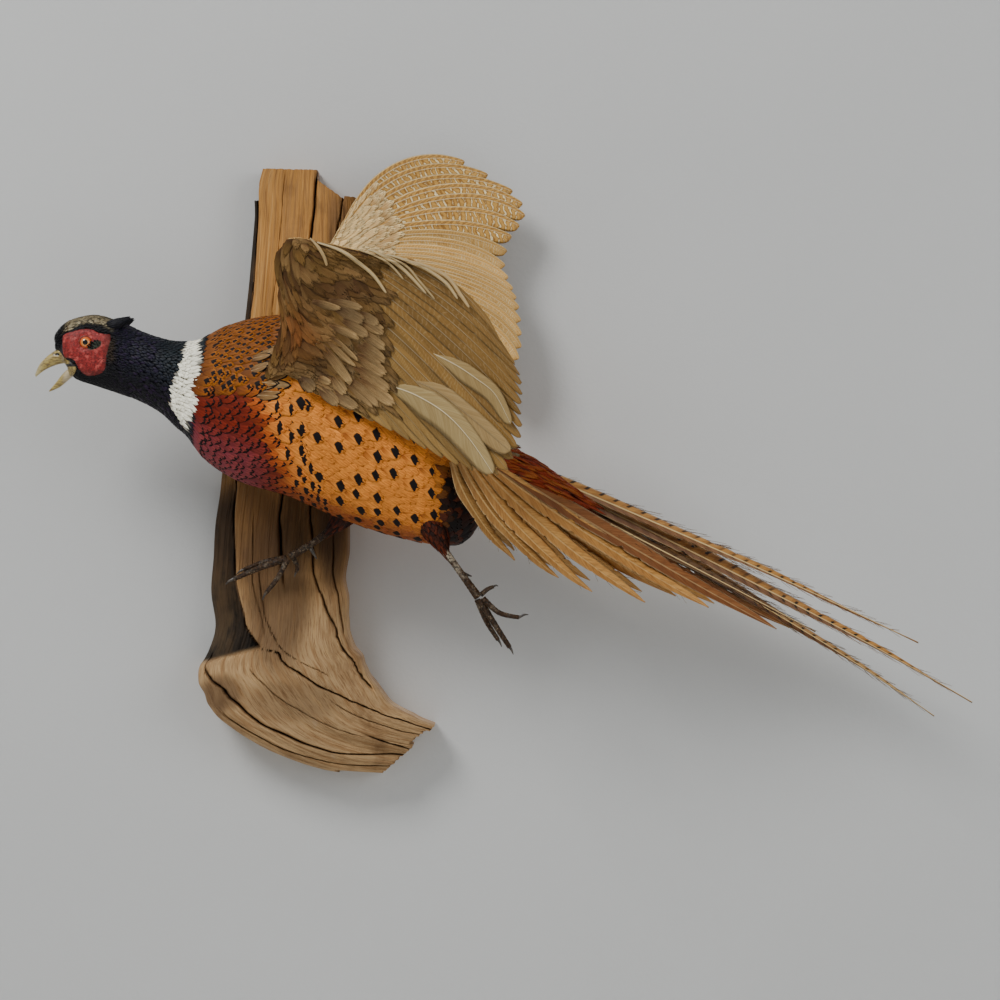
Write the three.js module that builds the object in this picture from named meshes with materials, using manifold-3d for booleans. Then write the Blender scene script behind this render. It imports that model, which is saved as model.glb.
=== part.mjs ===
// A cock ring-necked pheasant, mounted in flight on an upright piece of driftwood
// that hangs on a wall. Millimetres, +Z up. The wall is the plane y = 0 and the
// mount stands out from it to -Y; the bird flies toward -X, its left side outward.
// The origin is on the flat sawn back of the driftwood.
import * as THREE from 'three';
import { mergeVertices } from 'three/addons/utils/BufferGeometryUtils.js';
import Module from 'manifold-3d';

const wasm = await Module();
wasm.setup();

// ---------------------------------------------------------------- dimensions
const GAP = 0.3; // clearance between neighbouring pieces
const OVERRUN = 0.0035; // half the parting gap, as a share of a body station

// Body: the cut from back to belly at each station, bill end first.
const BODY = [
  { top: [-193.5, -79], bottom: [-193, -85], half: 2.5, y: -119 },
  { top: [-191, -72], bottom: [-188, -93], half: 8, y: -119 },
  { top: [-185, -65], bottom: [-180, -101], half: 12.5, y: -119 },
  { top: [-176, -60], bottom: [-175, -111], half: 16.5, y: -119 },
  { top: [-156, -56.5], bottom: [-156, -118], half: 18.5, y: -119 },
  { top: [-134, -63], bottom: [-138, -124], half: 20, y: -118.5 },
  { top: [-113, -72], bottom: [-119, -131], half: 22, y: -118 },
  { top: [-93, -78], bottom: [-101, -141], half: 24.5, y: -117 },
  { top: [-78, -79], bottom: [-87, -154], half: 28, y: -116 },
  { top: [-66, -77], bottom: [-77, -163], half: 32, y: -115.5 },
  { top: [-44, -66], bottom: [-61, -183], half: 42, y: -115 },
  { top: [-14, -58], bottom: [-32, -201], half: 52, y: -115 },
  { top: [21, -57.5], bottom: [14, -215], half: 58, y: -115 },
  { top: [64, -73], bottom: [66, -237], half: 59, y: -115 },
  { top: [112, -104], bottom: [112, -251], half: 52, y: -115 },
  { top: [147, -130], bottom: [149, -257], half: 42, y: -114 },
  { top: [165, -145], bottom: [166, -252], half: 33, y: -113.5 },
  { top: [186, -157], bottom: [181, -232], half: 24, y: -113 },
  { top: [212, -170], bottom: [204, -205], half: 16, y: -113 },
];
const BODY_PARTS = [
  { name: 'head', from: 0, to: 5 - OVERRUN, sections: 12 },
  { name: 'neck', from: 5 + OVERRUN, to: 8 - OVERRUN, sections: 5 },
  { name: 'collar', from: 8 + OVERRUN, to: 9 - OVERRUN, sections: 2 },
  { name: 'trunk', from: 9 + OVERRUN, to: 15.4 - OVERRUN, sections: 13 },
  { name: 'rump', from: 15.4 + OVERRUN, to: BODY.length - 1, sections: 5 },
];
const RING_SIDES = 18;
const SECTION_POWER = 0.94;

// Bill: the same kind of cut from culmen to cutting edge.
const BILL_UPPER = [
  { top: [-181, -80], bottom: [-173, -99.6], half: 6.6, y: -119 },
  { top: [-191, -86.5], bottom: [-184, -98.6], half: 6.2, y: -119 },
  { top: [-199.3, -92.6], bottom: [-193, -100.6], half: 4.9, y: -119 },
  { top: [-206, -100], bottom: [-201.5, -104.7], half: 3.4, y: -119 },
  { top: [-209.6, -108.5], bottom: [-208.6, -110.2], half: 0.9, y: -119 },
];
const BILL_LOWER = [
  { top: [-174.5, -100.5], bottom: [-169.5, -106.5], half: 6.4, y: -119 },
  { top: [-181.3, -103.6], bottom: [-177.4, -110.6], half: 5.8, y: -119 },
  { top: [-186.6, -108.9], bottom: [-182.8, -115.1], half: 4.6, y: -119 },
  { top: [-191.3, -115], bottom: [-188.4, -119.4], half: 3, y: -119 },
  { top: [-197.5, -122.4], bottom: [-196.9, -123.2], half: 0.8, y: -119 },
];

const BILL_SECTIONS = 7;
const BILL_SIDES = 10;

const EYE_RADIUS = 6;
const EYE_SIDES = 11;
const EYE_RINGS = 7;
const EYE_CENTRE = [-163.5, -81]; // x and z
const EYE_OFFSET = 13.6; // from the head's middle plane
const HEAD_Y = -119;

const TUFT_ROOT = { x: -140, z: -68, offset: 10, radius: 5.5 };
const TUFT_TIP = { x: -125.5, z: -58.5, offset: 14, radius: 1 };
const TUFT_SIDES = 8;
const TUFT_STEPS = 2;

// Wings: matching points of the leading edge and of the feather tips, from the
// outermost primary in to the body. bow is how far a feather's line arches.
const WING_LEFT = {
  name: 'wing_left',
  lead: [[109, -226, -15], [76, -226, -9], [45, -224, -2], [19, -222, 1],
    [8, -215, -17], [9, -203, -46], [9, -190, -74], [-2, -172, -103]],
  tips: [[193, -231, -82], [211, -226, -112], [213, -214, -140], [211, -202, -172],
    [192, -189, -198], [150, -180, -184], [100, -182, -158], [42, -182, -129]],
  bowOuter: 13,
  bowInner: 5,
  camber: 7,
  scales: 24,
};
const WING_RIGHT = {
  name: 'wing_right',
  lead: [[57, -51, 30], [47, -54, 15], [38, -57, 0], [30, -61, -20],
    [24, -64, -42], [19, -67, -66], [16, -70, -90], [14, -73, -108]],
  tips: [[157, -36, 87], [199, -32, 66], [217, -32, 36], [203, -36, -4],
    [209, -40, -34], [213, -46, -72], [196, -54, -108], [110, -62, -130]],
  bowOuter: 19,
  bowInner: 6,
  camber: -5,
  scales: 24,
};
const PRIMARY_SHARE = 0.43; // share of the feathers that grow on the hand
const CAMBER_FADE = 0.6; // how much of the camber is lost toward the body
const NORMAL_STEP = 0.01;
const ARM_WIDTH_HAND = 15;
const ARM_WIDTH_ELBOW = 42;
const ELBOW_AT = 0.6; // where the arm is widest and where it starts to narrow
const NARROWING_FROM = 0.75;
const SHOULDER_SHARE = 0.5; // width at the shoulder, as a share of the elbow's
const ARM_THICK = 12;
const LEAD_THICK = 4;
const ARM_ROUNDING = 0.72; // how much of a full swell the arm's section takes
const ARM_LEAD_IN = 0.06;
const HAND_THINNING = 0.6;
const BLADE_THICK = 3;
const TIP_THICK = 1.1;
const ARM_ROWS = [0, 0.12, 0.45, 0.8, 1];
const ARM_COLUMNS = 14;
const ARM_CLEARANCE = 0.8; // more than the gap, as the arm's hind edge curves in
const BLADE_ROWS = [0, 0.45, 0.82, 1];
const BLADE_ROOT = 2; // how far a blade starts under the arm before it is trimmed
const COLUMNS_PER_FEATHER = 2;
const TIP_SCALLOP = 6;
const BLADE_INSET = 0.012; // blades stop this share of the wing short of the arm's ends
const SEAM = 0.0016; // half the parting between two blades, as a share of the wing

// Tail: feather tips from the outermost in, with width and sideways arch.
const FAN_LEFT = [
  { tip: [207, -163, -269], width: 20, bow: -11 },
  { tip: [246, -158, -283], width: 21, bow: -12 },
  { tip: [276, -151, -294], width: 22, bow: -11 },
  { tip: [323, -142, -302], width: 23, bow: -9 },
  { tip: [379, -128, -306], width: 24, bow: -5 },
  { tip: [440, -114, -324], width: 22, bow: -3 },
];
const FAN_RIGHT = [
  { tip: [207, -66, -262], width: 20, bow: -9 },
  { tip: [245, -69, -276], width: 21, bow: -11 },
  { tip: [276, -73, -286], width: 22, bow: -11 },
  { tip: [322, -78, -294], width: 23, bow: -10 },
  { tip: [352, -81, -297], width: 23, bow: -8 },
  { tip: [386, -84, -302], width: 23, bow: -7 },
  { tip: [452, -80, -322], width: 21, bow: -5 },
];
const CENTRAL = [
  { tip: [566, -72, -340], width: 26, bow: 6, base: [188, -110, -176] },
  { tip: [613, -72, -394], width: 38, bow: 11, base: [188, -113, -178] },
  { tip: [577, -82, -407], width: 36, bow: 17, base: [188, -117, -182] },
  { tip: [470, -96, -334], width: 26, bow: 2, base: [188, -120, -186] },
];
const TAIL_ROOT = [[196, -113, -182, 9], [238, -112, -204, 3]];
const CENTRAL_BEND = 0.62; // where along a feather its arch is highest
const FAN_BEND = 0.45;
const FAN_LEFT_BASE = [[153, -158, -184], [194, -137, -186]];
const FAN_RIGHT_BASE = [[156, -72, -184], [194, -91, -186]];
const FAN_ROOT_RADIUS = 4.5;
const FAN_TILT = THREE.MathUtils.degToRad(38);
const CENTRAL_TILT = THREE.MathUtils.degToRad(58);
const FAN_TAPER = { start: 3, fall: 0.7 };
const CENTRAL_TAPER = { start: 1.6, fall: 1.3 };
const FEATHER_BASE = { share: 0.55, growth: 1.6 }; // width at the base and its rise
const FEATHER_LEAST_HALF = 0.6;
const RECTRIX_THICK = 1.5;
const RECTRIX_TIP_SHARE = 0.7;
const CENTRAL_FIRST_LAYER = 2.2;
const STACK_BASE = 0.55;
const STACK_TIP = 2.1;
const FEATHER_STEPS = 5;

// Legs: knee, ankle and foot points, each with a radius where the leg tapers.
const LEG_LEFT = {
  side: 'left',
  thigh: [[128, -132, -222, 17], [140, -138, -246, 11], [146, -141, -259, 5.2]],
  tarsus: [[144, -141, -257, 3.6], [158, -143.5, -276, 2.9], [176, -147, -301, 3.7]],
  toes: [
    { name: 'middle', path: [[177, -148, -303, 2.9], [190, -149, -324, 2.5], [203, -150, -344, 2]],
      claw: [206, -150.5, -350] },
    { name: 'inner', path: [[175, -144, -303, 2.6], [183, -141, -322, 2.2], [193, -139, -338, 1.8]],
      claw: [196, -138.5, -344] },
    { name: 'outer', path: [[180, -150, -302, 2.6], [194, -154, -314, 2.2], [211, -156, -318, 1.8]],
      claw: [219, -156.5, -315.5] },
    { name: 'hind', path: [[178, -145, -299, 2.2], [184, -143, -294, 1.9], [189, -142, -292, 1.5]],
      claw: [193, -141.5, -291.5] },
  ],
  spur: [[161, -143, -280, 2.2], [170, -139, -283, 0.6]],
};
const LEG_RIGHT = {
  side: 'right',
  thigh: [[72, -92, -212, 17], [58, -89, -230, 11], [47, -88, -242.5, 5.2]],
  tarsus: [[49, -88, -241, 3.6], [30, -85, -255, 2.9], [10, -82, -267, 3.7]],
  toes: [
    { name: 'middle', path: [[7, -82, -269, 2.9], [-17, -80.5, -277, 2.5], [-40, -80, -287, 2]],
      claw: [-47, -80, -291.5] },
    { name: 'inner', path: [[8, -86, -269.5, 2.6], [-1, -88, -286, 2.2], [-11, -88, -299, 1.8]],
      claw: [-14, -88, -305] },
    { name: 'outer', path: [[6, -77.5, -268, 2.6], [-14, -75, -272, 2.2], [-32, -74, -279, 1.8]],
      claw: [-38, -74, -283] },
    { name: 'hind', path: [[13, -80, -269, 2.2], [16, -79, -276, 1.9], [15, -78.5, -281, 1.5]],
      claw: [13.5, -78, -285] },
  ],
  spur: [[27, -83, -258, 2.2], [33, -79, -269, 0.6]],
};
const LEG_SIDES = 8;
const TOE_SIDES = 6;
const THIGH_SIDES = 10;
const THIGH_STEPS = 3;
const TARSUS_STEPS = 5;
const TOE_STEPS = 3;
const CLAW_ROOT_SHARE = 0.85; // the claw's thickness at its root against the toe's
const CLAW_TIP_RADIUS = 0.45;
const CLAW_START = 1; // beyond the toe's last point, clear of its slanted end

// Driftwood: left and right edge and front depth at each station, top first.
const WOOD = [
  { left: [-24, 82], right: [66, 82], depth: 33 },
  { left: [-28, 30], right: [66, 30], depth: 36 },
  { left: [-35, -40], right: [66, -40], depth: 38 },
  { left: [-46, -120], right: [64, -120], depth: 41 },
  { left: [-57, -200], right: [61, -200], depth: 45 },
  { left: [-64, -268], right: [58, -262], depth: 52 },
  { left: [-63, -335], right: [57, -310], depth: 60 },
  { left: [-74, -372], right: [62, -341], depth: 64 },
  { left: [-68, -396], right: [72, -362], depth: 64 },
  { left: [-46, -420], right: [84, -381], depth: 60 },
  { left: [-10, -442], right: [98, -399], depth: 54 },
  { left: [38, -459], right: [118, -410], depth: 46 },
  { left: [88, -464], right: [138, -419], depth: 36 },
];
const WOOD_END = WOOD.length - 1;
const WOOD_ROWS = 17;
const EDGE_DEPTH_SHARE = 0.62; // front depth at the rounded edges
const EDGE_POWER = 6; // how late the front rounds off toward its edges
// Cracks between the laths: their place across the wood at top, middle and foot.
const CRACKS = [
  { across: [0.05, 0.17, 0.2], depth: 9 },
  { across: [0.615, 0.49, 0.78], depth: 12 },
  { across: [0.885, 0.8, 0.92], depth: 8 },
];
const CRACK_HALF = 0.012;
// Length missing from the top of each lath, at its left and right side, and from
// its foot, in stations.
const LATHS = [
  { drop: [33, 33], foot: 0.1 },
  { drop: [4, 6], foot: 0 },
  { drop: [17, 33], foot: 0.28 },
  { drop: [31, 31], foot: 0.05 },
];
const FIRST_STATION = WOOD[0].left[1] - WOOD[1].left[1];
// Broken-away ledge low on the left: how many columns, which stations, how deep.
const LEDGE = { columns: 3, from: 4.6, to: 6.9, depth: 15 };

const ROD_RADIUS = 4;
const ROD_CENTRE = [34, -140]; // x and z
const ROD_REACH = [-30, -75]; // y of the two ends before they are trimmed
const ROD_SIDES = 12;

// ----------------------------------------------------------------- materials
function finish(color, roughness, metalness = 0) {
  return new THREE.MeshStandardMaterial({ color, roughness, metalness });
}
const MATERIALS = {
  head: finish('#1d2a22', 0.55),
  neck: finish('#141832', 0.45),
  collar: finish('#e9e4d6', 0.85),
  trunk: finish('#b5651d', 0.7),
  rump: finish('#8a4a20', 0.75),
  tuft: finish('#16202a', 0.55),
  wingUnder: finish('#8a7a5c', 0.8),
  wingUpper: finish('#b39a6b', 0.8),
  tail: finish('#b98a4e', 0.75),
  bill: finish('#a2997a', 0.45),
  eye: finish('#c8571d', 0.08),
  leg: finish('#4a4238', 0.6),
  claw: finish('#2f2a25', 0.4),
  wood: finish('#8a6240', 0.85),
  steel: finish('#7d7f82', 0.35, 1),
};

// ------------------------------------------------------------------- helpers
const vector = (p) => new THREE.Vector3(p[0], p[1], p[2]);
const lerp = THREE.MathUtils.lerp;

// Smooth value at place s of a row of evenly spaced values.
function smooth(values, s) {
  const last = values.length - 1;
  const k = Math.min(Math.floor(s), last - 1);
  const t = s - k;
  const a = values[Math.max(k - 1, 0)];
  const b = values[k];
  const c = values[k + 1];
  const d = values[Math.min(k + 2, last)];
  const t2 = t * t;
  const t3 = t2 * t;
  return 0.5 * (2 * b + (c - a) * t + (2 * a - 5 * b + 4 * c - d) * t2
    + (3 * b - a - 3 * c + d) * t3);
}

function smoothPoint(points, s) {
  return new THREE.Vector3(
    smooth(points.map((p) => p[0]), s),
    smooth(points.map((p) => p[1]), s),
    smooth(points.map((p) => p[2]), s),
  );
}

function steps(from, to, count) {
  return Array.from({ length: count + 1 }, (_, i) => lerp(from, to, i / count));
}

function geometryOf(points, triangles) {
  let volume = 0;
  for (const [a, b, c] of triangles) {
    volume += points[a].dot(points[b].clone().cross(points[c]));
  }
  const order = volume < 0 ? [0, 2, 1] : [0, 1, 2];
  const geometry = new THREE.BufferGeometry();
  const flat = points.flatMap((p) => [p.x, p.y, p.z]);
  geometry.setAttribute('position', new THREE.Float32BufferAttribute(flat, 3));
  geometry.setIndex(triangles.flatMap((t) => order.map((k) => t[k])));
  return geometry;
}

// Closed skin over a row of rings, with a flat or pointed cap at each end.
function loft(rings) {
  const sides = rings[0].length;
  const points = rings.flat();
  const triangles = [];
  for (let i = 0; i < rings.length - 1; i += 1) {
    for (let j = 0; j < sides; j += 1) {
      const next = (j + 1) % sides;
      const a = i * sides + j;
      const b = i * sides + next;
      triangles.push([a, b, b + sides], [a, b + sides, a + sides]);
    }
  }
  for (const [ring, turn] of [[0, 1], [rings.length - 1, 0]]) {
    const centre = new THREE.Vector3();
    rings[ring].forEach((p) => centre.addScaledVector(p, 1 / sides));
    const hub = points.push(centre) - 1;
    for (let j = 0; j < sides; j += 1) {
      const a = ring * sides + j;
      const b = ring * sides + ((j + 1) % sides);
      triangles.push(turn ? [hub, b, a] : [hub, a, b]);
    }
  }
  return geometryOf(points, triangles);
}

// Closed plate between two matching grids of points.
function plate(front, back) {
  const rows = front.length;
  const columns = front[0].length;
  const points = [...front.flat(), ...back.flat()];
  const offset = rows * columns;
  const at = (i, j) => i * columns + j;
  const triangles = [];
  for (let i = 0; i < rows - 1; i += 1) {
    for (let j = 0; j < columns - 1; j += 1) {
      const a = at(i, j);
      const b = at(i, j + 1);
      const c = at(i + 1, j + 1);
      const d = at(i + 1, j);
      triangles.push([a, b, c], [a, c, d]);
      triangles.push([a + offset, c + offset, b + offset], [a + offset, d + offset, c + offset]);
    }
  }
  const rim = [];
  for (let j = 0; j < columns; j += 1) {
    rim.push(at(0, j));
  }
  for (let i = 1; i < rows; i += 1) {
    rim.push(at(i, columns - 1));
  }
  for (let j = columns - 2; j >= 0; j -= 1) {
    rim.push(at(rows - 1, j));
  }
  for (let i = rows - 2; i > 0; i -= 1) {
    rim.push(at(i, 0));
  }
  rim.forEach((a, k) => {
    const b = rim[(k + 1) % rim.length];
    triangles.push([a, a + offset, b + offset], [a, b + offset, b]);
  });
  return geometryOf(points, triangles);
}

function toSolid(geometry) {
  const bare = geometry.clone();
  bare.deleteAttribute('normal');
  bare.deleteAttribute('uv');
  const merged = mergeVertices(bare);
  return new wasm.Manifold(new wasm.Mesh({
    numProp: 3,
    vertProperties: Float32Array.from(merged.attributes.position.array),
    triVerts: Uint32Array.from(merged.index.array),
  }));
}

function toGeometry(solid) {
  const mesh = solid.getMesh();
  const geometry = new THREE.BufferGeometry();
  geometry.setAttribute('position', new THREE.Float32BufferAttribute(mesh.vertProperties, 3));
  geometry.setIndex(Array.from(mesh.triVerts));
  return geometry;
}

function largest(solid) {
  const pieces = solid.decompose();
  pieces.sort((a, b) => b.volume() - a.volume());
  return pieces[0];
}

// The first geometry with the others taken out of it.
function carve(geometry, cutters) {
  let solid = toSolid(geometry);
  for (const cutter of cutters) {
    solid = solid.subtract(toSolid(cutter));
  }
  return toGeometry(largest(solid));
}

function union(geometries) {
  let solid = toSolid(geometries[0]);
  for (const geometry of geometries.slice(1)) {
    solid = solid.add(toSolid(geometry));
  }
  return toGeometry(largest(solid));
}

// ---------------------------------------------------------------------- body
function sectionRing(stations, s, sides, grow) {
  const top = smoothPoint(stations.map((k) => [k.top[0], k.y, k.top[1]]), s);
  const bottom = smoothPoint(stations.map((k) => [k.bottom[0], k.y, k.bottom[1]]), s);
  const half = smooth(stations.map((k) => k.half), s) + grow;
  const middle = top.clone().lerp(bottom, 0.5);
  const up = top.clone().sub(bottom).multiplyScalar(0.5);
  up.setLength(up.length() + grow);
  return steps(0, 2 * Math.PI, sides).slice(0, sides).map((angle) => {
    const rise = Math.sign(Math.cos(angle)) * Math.abs(Math.cos(angle)) ** SECTION_POWER;
    const side = Math.sign(Math.sin(angle)) * Math.abs(Math.sin(angle)) ** SECTION_POWER;
    const point = middle.clone().addScaledVector(up, rise);
    point.y += half * side;
    return point;
  });
}

function bodyPart(part) {
  const places = steps(part.from, part.to, part.sections);
  return loft(places.map((s) => sectionRing(BODY, s, RING_SIDES, 0)));
}

// The whole body, larger all round by the clearance, to trim its neighbours.
function wholeBodyGrown() {
  const places = BODY_PARTS.flatMap((part) => steps(part.from, part.to, part.sections));
  const rings = places.map((s) => sectionRing(BODY, s, RING_SIDES, GAP));
  const tailward = rings.at(-1)[0].clone().sub(rings.at(-2)[0]).setLength(GAP);
  rings.at(-1).forEach((point) => point.add(tailward));
  rings[0].forEach((point) => point.setX(point.x - GAP));
  return loft(rings);
}

function eyeBall(side, grow) {
  const ball = new THREE.SphereGeometry(EYE_RADIUS + grow, EYE_SIDES, EYE_RINGS);
  ball.translate(EYE_CENTRE[0], HEAD_Y + side * EYE_OFFSET, EYE_CENTRE[1]);
  return ball;
}

function billHalf(stations) {
  const places = steps(0, stations.length - 1, BILL_SECTIONS);
  const blank = loft(places.map((s) => sectionRing(stations, s, BILL_SIDES, 0)));
  return carve(blank, [wholeBodyGrown()]);
}

// Round bar through points that each carry a radius as their fourth number.
function limb(path, sides, count, grow = 0) {
  const places = steps(0, path.length - 1, count);
  const centres = places.map((s) => smoothPoint(path, s));
  const rings = centres.map((centre, i) => {
    const before = centres[Math.max(i - 1, 0)];
    const after = centres[Math.min(i + 1, centres.length - 1)];
    const along = after.clone().sub(before).normalize();
    const across = new THREE.Vector3(0, 1, 0).cross(along).normalize();
    const third = along.clone().cross(across);
    const radius = smooth(path.map((p) => p[3]), places[i]) + grow;
    const overhang = grow * ((i === count) - (i === 0));
    return steps(0, 2 * Math.PI, sides).slice(0, sides).map((angle) => centre.clone()
      .addScaledVector(along, overhang)
      .addScaledVector(across, radius * Math.cos(angle))
      .addScaledVector(third, radius * Math.sin(angle)));
  });
  return loft(rings);
}

function earTuft(side) {
  const ends = [TUFT_ROOT, TUFT_TIP].map((e) => [e.x, HEAD_Y + side * e.offset, e.z, e.radius]);
  return carve(limb(ends, TUFT_SIDES, TUFT_STEPS), [wholeBodyGrown()]);
}

// --------------------------------------------------------------------- wings
function wingLine(wing, f) {
  const s = f * (wing.lead.length - 1);
  const start = smoothPoint(wing.lead, s);
  const end = smoothPoint(wing.tips, s);
  const chord = end.clone().sub(start);
  const arch = new THREE.Vector3(-chord.z, 0, chord.x).normalize();
  arch.multiplyScalar(2 * lerp(wing.bowOuter, wing.bowInner, f));
  const bend = start.clone().lerp(end, 0.5).add(arch);
  return { start, bend, end, length: chord.length() };
}

function wingPoint(wing, f, v) {
  const { start, bend, end } = wingLine(wing, f);
  const point = start.multiplyScalar((1 - v) ** 2)
    .addScaledVector(bend, 2 * v * (1 - v))
    .addScaledVector(end, v * v);
  point.y += wing.camber * 4 * v * (1 - v) * (1 - CAMBER_FADE * f);
  return point;
}

function wingNormal(wing, f, v) {
  const h = NORMAL_STEP;
  const low = Math.max(f - h, 0);
  const high = Math.min(f + h, 1);
  const across = wingPoint(wing, high, v).sub(wingPoint(wing, low, v));
  const along = wingPoint(wing, f, Math.min(v + h, 1)).sub(wingPoint(wing, f, Math.max(v - h, 0)));
  return across.cross(along).normalize();
}

function armShare(wing, f) {
  const widening = THREE.MathUtils.smoothstep(f, 0, ELBOW_AT);
  const narrowing = THREE.MathUtils.smoothstep(f, NARROWING_FROM, 1);
  const width = lerp(ARM_WIDTH_HAND, ARM_WIDTH_ELBOW, widening) * lerp(1, SHOULDER_SHARE, narrowing);
  return width / wingLine(wing, f).length;
}

// Thickness at a share of the way from the leading edge to the arm's hind edge.
function armThickness(f, share) {
  const round = Math.sin(Math.PI * Math.min(share * ARM_ROUNDING + ARM_LEAD_IN, 1));
  return lerp(LEAD_THICK, ARM_THICK, round) * lerp(HAND_THINNING, 1, f);
}

// Closed plate whose rows, at each place f, are pairs of depth v and half thickness.
function wingPlate(wing, columns, rowsAt) {
  const faces = [1, -1].map((face) => columns.map((f) => rowsAt(f).map(([v, half]) => (
    wingPoint(wing, f, v).addScaledVector(wingNormal(wing, f, v), face * half)
  ))));
  return plate(faces[0], faces[1]);
}

function armPlate(wing, grow = 0) {
  const rowsAt = (f) => {
    const reach = armShare(wing, f) + grow / wingLine(wing, f).length;
    return ARM_ROWS.map((r) => [r * reach, armThickness(f, r) / 2 + grow]);
  };
  return wingPlate(wing, steps(0, 1, ARM_COLUMNS), rowsAt);
}

function bladePlate(wing, from, to) {
  const feathers = Math.round((to - from) * wing.scales);
  const notch = (f) => {
    const phase = ((f - from) / (to - from)) * feathers;
    const offset = Math.abs(phase - Math.round(phase));
    return (TIP_SCALLOP * (1 - 2 * offset)) / wingLine(wing, f).length;
  };
  const rowsAt = (f) => {
    const start = armShare(wing, f) - BLADE_ROOT / wingLine(wing, f).length;
    const stop = 1 - notch(f);
    return BLADE_ROWS.map((r) => [lerp(start, stop, r), lerp(BLADE_THICK, TIP_THICK, r) / 2]);
  };
  return wingPlate(wing, steps(from, to, feathers * COLUMNS_PER_FEATHER), rowsAt);
}

// ---------------------------------------------------------------------- tail
// Half width of a tail feather at a share of its length: the fan's feathers are
// blunt and the central ones draw out to a bare shaft.
function featherWidth(v, width, taper) {
  const base = Math.min(FEATHER_BASE.share + FEATHER_BASE.growth * v, 1);
  const tip = (1 - v ** taper.start) ** taper.fall;
  return Math.max(0.5 * width * base * tip, FEATHER_LEAST_HALF);
}

function rectrix(feather, grow = 0) {
  const { base, tip, width, bow, side, tilt, layer, bendAt, taper } = feather;
  const start = vector(base);
  const end = vector(tip);
  const chord = end.clone().sub(start).normalize();
  const down = new THREE.Vector3(0, side * Math.sin(tilt), -Math.cos(tilt));
  const across = down.addScaledVector(chord, -down.dot(chord)).normalize();
  const outward = across.clone().cross(chord).multiplyScalar(side).normalize();
  const bend = start.clone().lerp(end, bendAt).addScaledVector(across, -2 * bow);
  const path = new THREE.QuadraticBezierCurve3(start, bend, end);
  const rings = steps(0, 1, FEATHER_STEPS).map((v) => {
    const centre = path.getPoint(v);
    centre.addScaledVector(outward, layer * lerp(STACK_BASE, STACK_TIP, v));
    const half = featherWidth(v, width, taper) + grow;
    const thick = RECTRIX_THICK * lerp(1, RECTRIX_TIP_SHARE, v) + 2 * grow;
    const corners = [[-half, 0.5], [half, 0.5], [half, -0.5], [-half, -0.5]];
    return corners.map(([x, y]) => centre.clone()
      .addScaledVector(across, x)
      .addScaledVector(outward, y * thick));
  });
  return loft(rings);
}

// The feathers of one side of the tail, with the root that they grow from.
function fan(feathers, base, side) {
  const blades = feathers.map((feather, k) => rectrix({
    ...feather,
    base: vector(base[0]).lerp(vector(base[1]), k / (feathers.length - 1)).toArray(),
    side,
    tilt: FAN_TILT,
    layer: k,
    bendAt: FAN_BEND,
    taper: FAN_TAPER,
  }));
  return [limb(base.map((end) => [...end, FAN_ROOT_RADIUS]), TOE_SIDES, 1), ...blades];
}

function centralFeathers(grow = 0) {
  return CENTRAL.map((feather, k) => rectrix({
    ...feather,
    side: -1,
    tilt: CENTRAL_TILT,
    layer: CENTRAL_FIRST_LAYER - k,
    bendAt: CENTRAL_BEND,
    taper: CENTRAL_TAPER,
  }, grow));
}

// ----------------------------------------------------------------- driftwood
function crackAcross(crack, s) {
  return smooth(crack.across, (2 * s) / WOOD_END);
}

// Which lath a place across the top belongs to, and where its two ends start.
function lathAt(u) {
  const bounds = [0, ...CRACKS.map((crack) => crackAcross(crack, 0)), 1];
  const k = Math.max(bounds.findIndex((bound) => u <= bound) - 1, 0);
  const share = (u - bounds[k]) / (bounds[k + 1] - bounds[k]);
  const top = lerp(LATHS[k].drop[0], LATHS[k].drop[1], share) / FIRST_STATION;
  return { top, foot: WOOD_END - LATHS[k].foot };
}

function woodDepth(u, s, ledge) {
  const depth = smooth(WOOD.map((k) => k.depth), s);
  const round = Math.sqrt(Math.max(1 - (2 * u - 1) ** EDGE_POWER, 0));
  let front = depth * lerp(EDGE_DEPTH_SHARE, 1, round);
  for (const crack of CRACKS) {
    if (Math.abs(u - crackAcross(crack, s)) < CRACK_HALF / 2) {
      front -= crack.depth;
    }
  }
  if (ledge && s > LEDGE.from && s < LEDGE.to) {
    front -= LEDGE.depth;
  }
  return front;
}

function woodColumns(s) {
  const [first, second, third] = CRACKS.map((crack) => crackAcross(crack, s));
  const around = (u) => [u - CRACK_HALF, u, u + CRACK_HALF];
  const main = steps(first, second, 4).slice(1, 4);
  const side = steps(second, third, 2).slice(1, 2);
  return [0, ...around(first), ...main, ...around(second), ...side, ...around(third), 1];
}

function driftwood(grow = 0) {
  const columnCount = woodColumns(0).length;
  const grids = ['front', 'back'].map((face) => {
    const rows = [];
    for (let i = 0; i <= WOOD_ROWS; i += 1) {
      const row = [];
      for (let j = 0; j < columnCount; j += 1) {
        const lath = lathAt(woodColumns(0)[j]);
        const s = lerp(lath.top, lath.foot, i / WOOD_ROWS);
        const u = woodColumns(s)[j];
        const left = smoothPoint(WOOD.map((k) => [k.left[0], 0, k.left[1]]), s);
        const right = smoothPoint(WOOD.map((k) => [k.right[0], 0, k.right[1]]), s);
        const point = left.lerp(right, u);
        const depth = woodDepth(u, s, j < LEDGE.columns) + grow;
        point.y = face === 'front' ? -depth : 0;
        row.push(point);
      }
      rows.push(row);
    }
    return rows;
  });
  return plate(grids[0], grids[1]);
}

function mountRod() {
  const length = ROD_REACH[0] - ROD_REACH[1];
  const rod = new THREE.CylinderGeometry(ROD_RADIUS, ROD_RADIUS, length, ROD_SIDES);
  rod.translate(ROD_CENTRE[0], (ROD_REACH[0] + ROD_REACH[1]) / 2, ROD_CENTRE[1]);
  return carve(rod, [wholeBodyGrown(), driftwood(GAP)]);
}

// ------------------------------------------------------------------ assembly
const pheasant = new THREE.Group();

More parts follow.
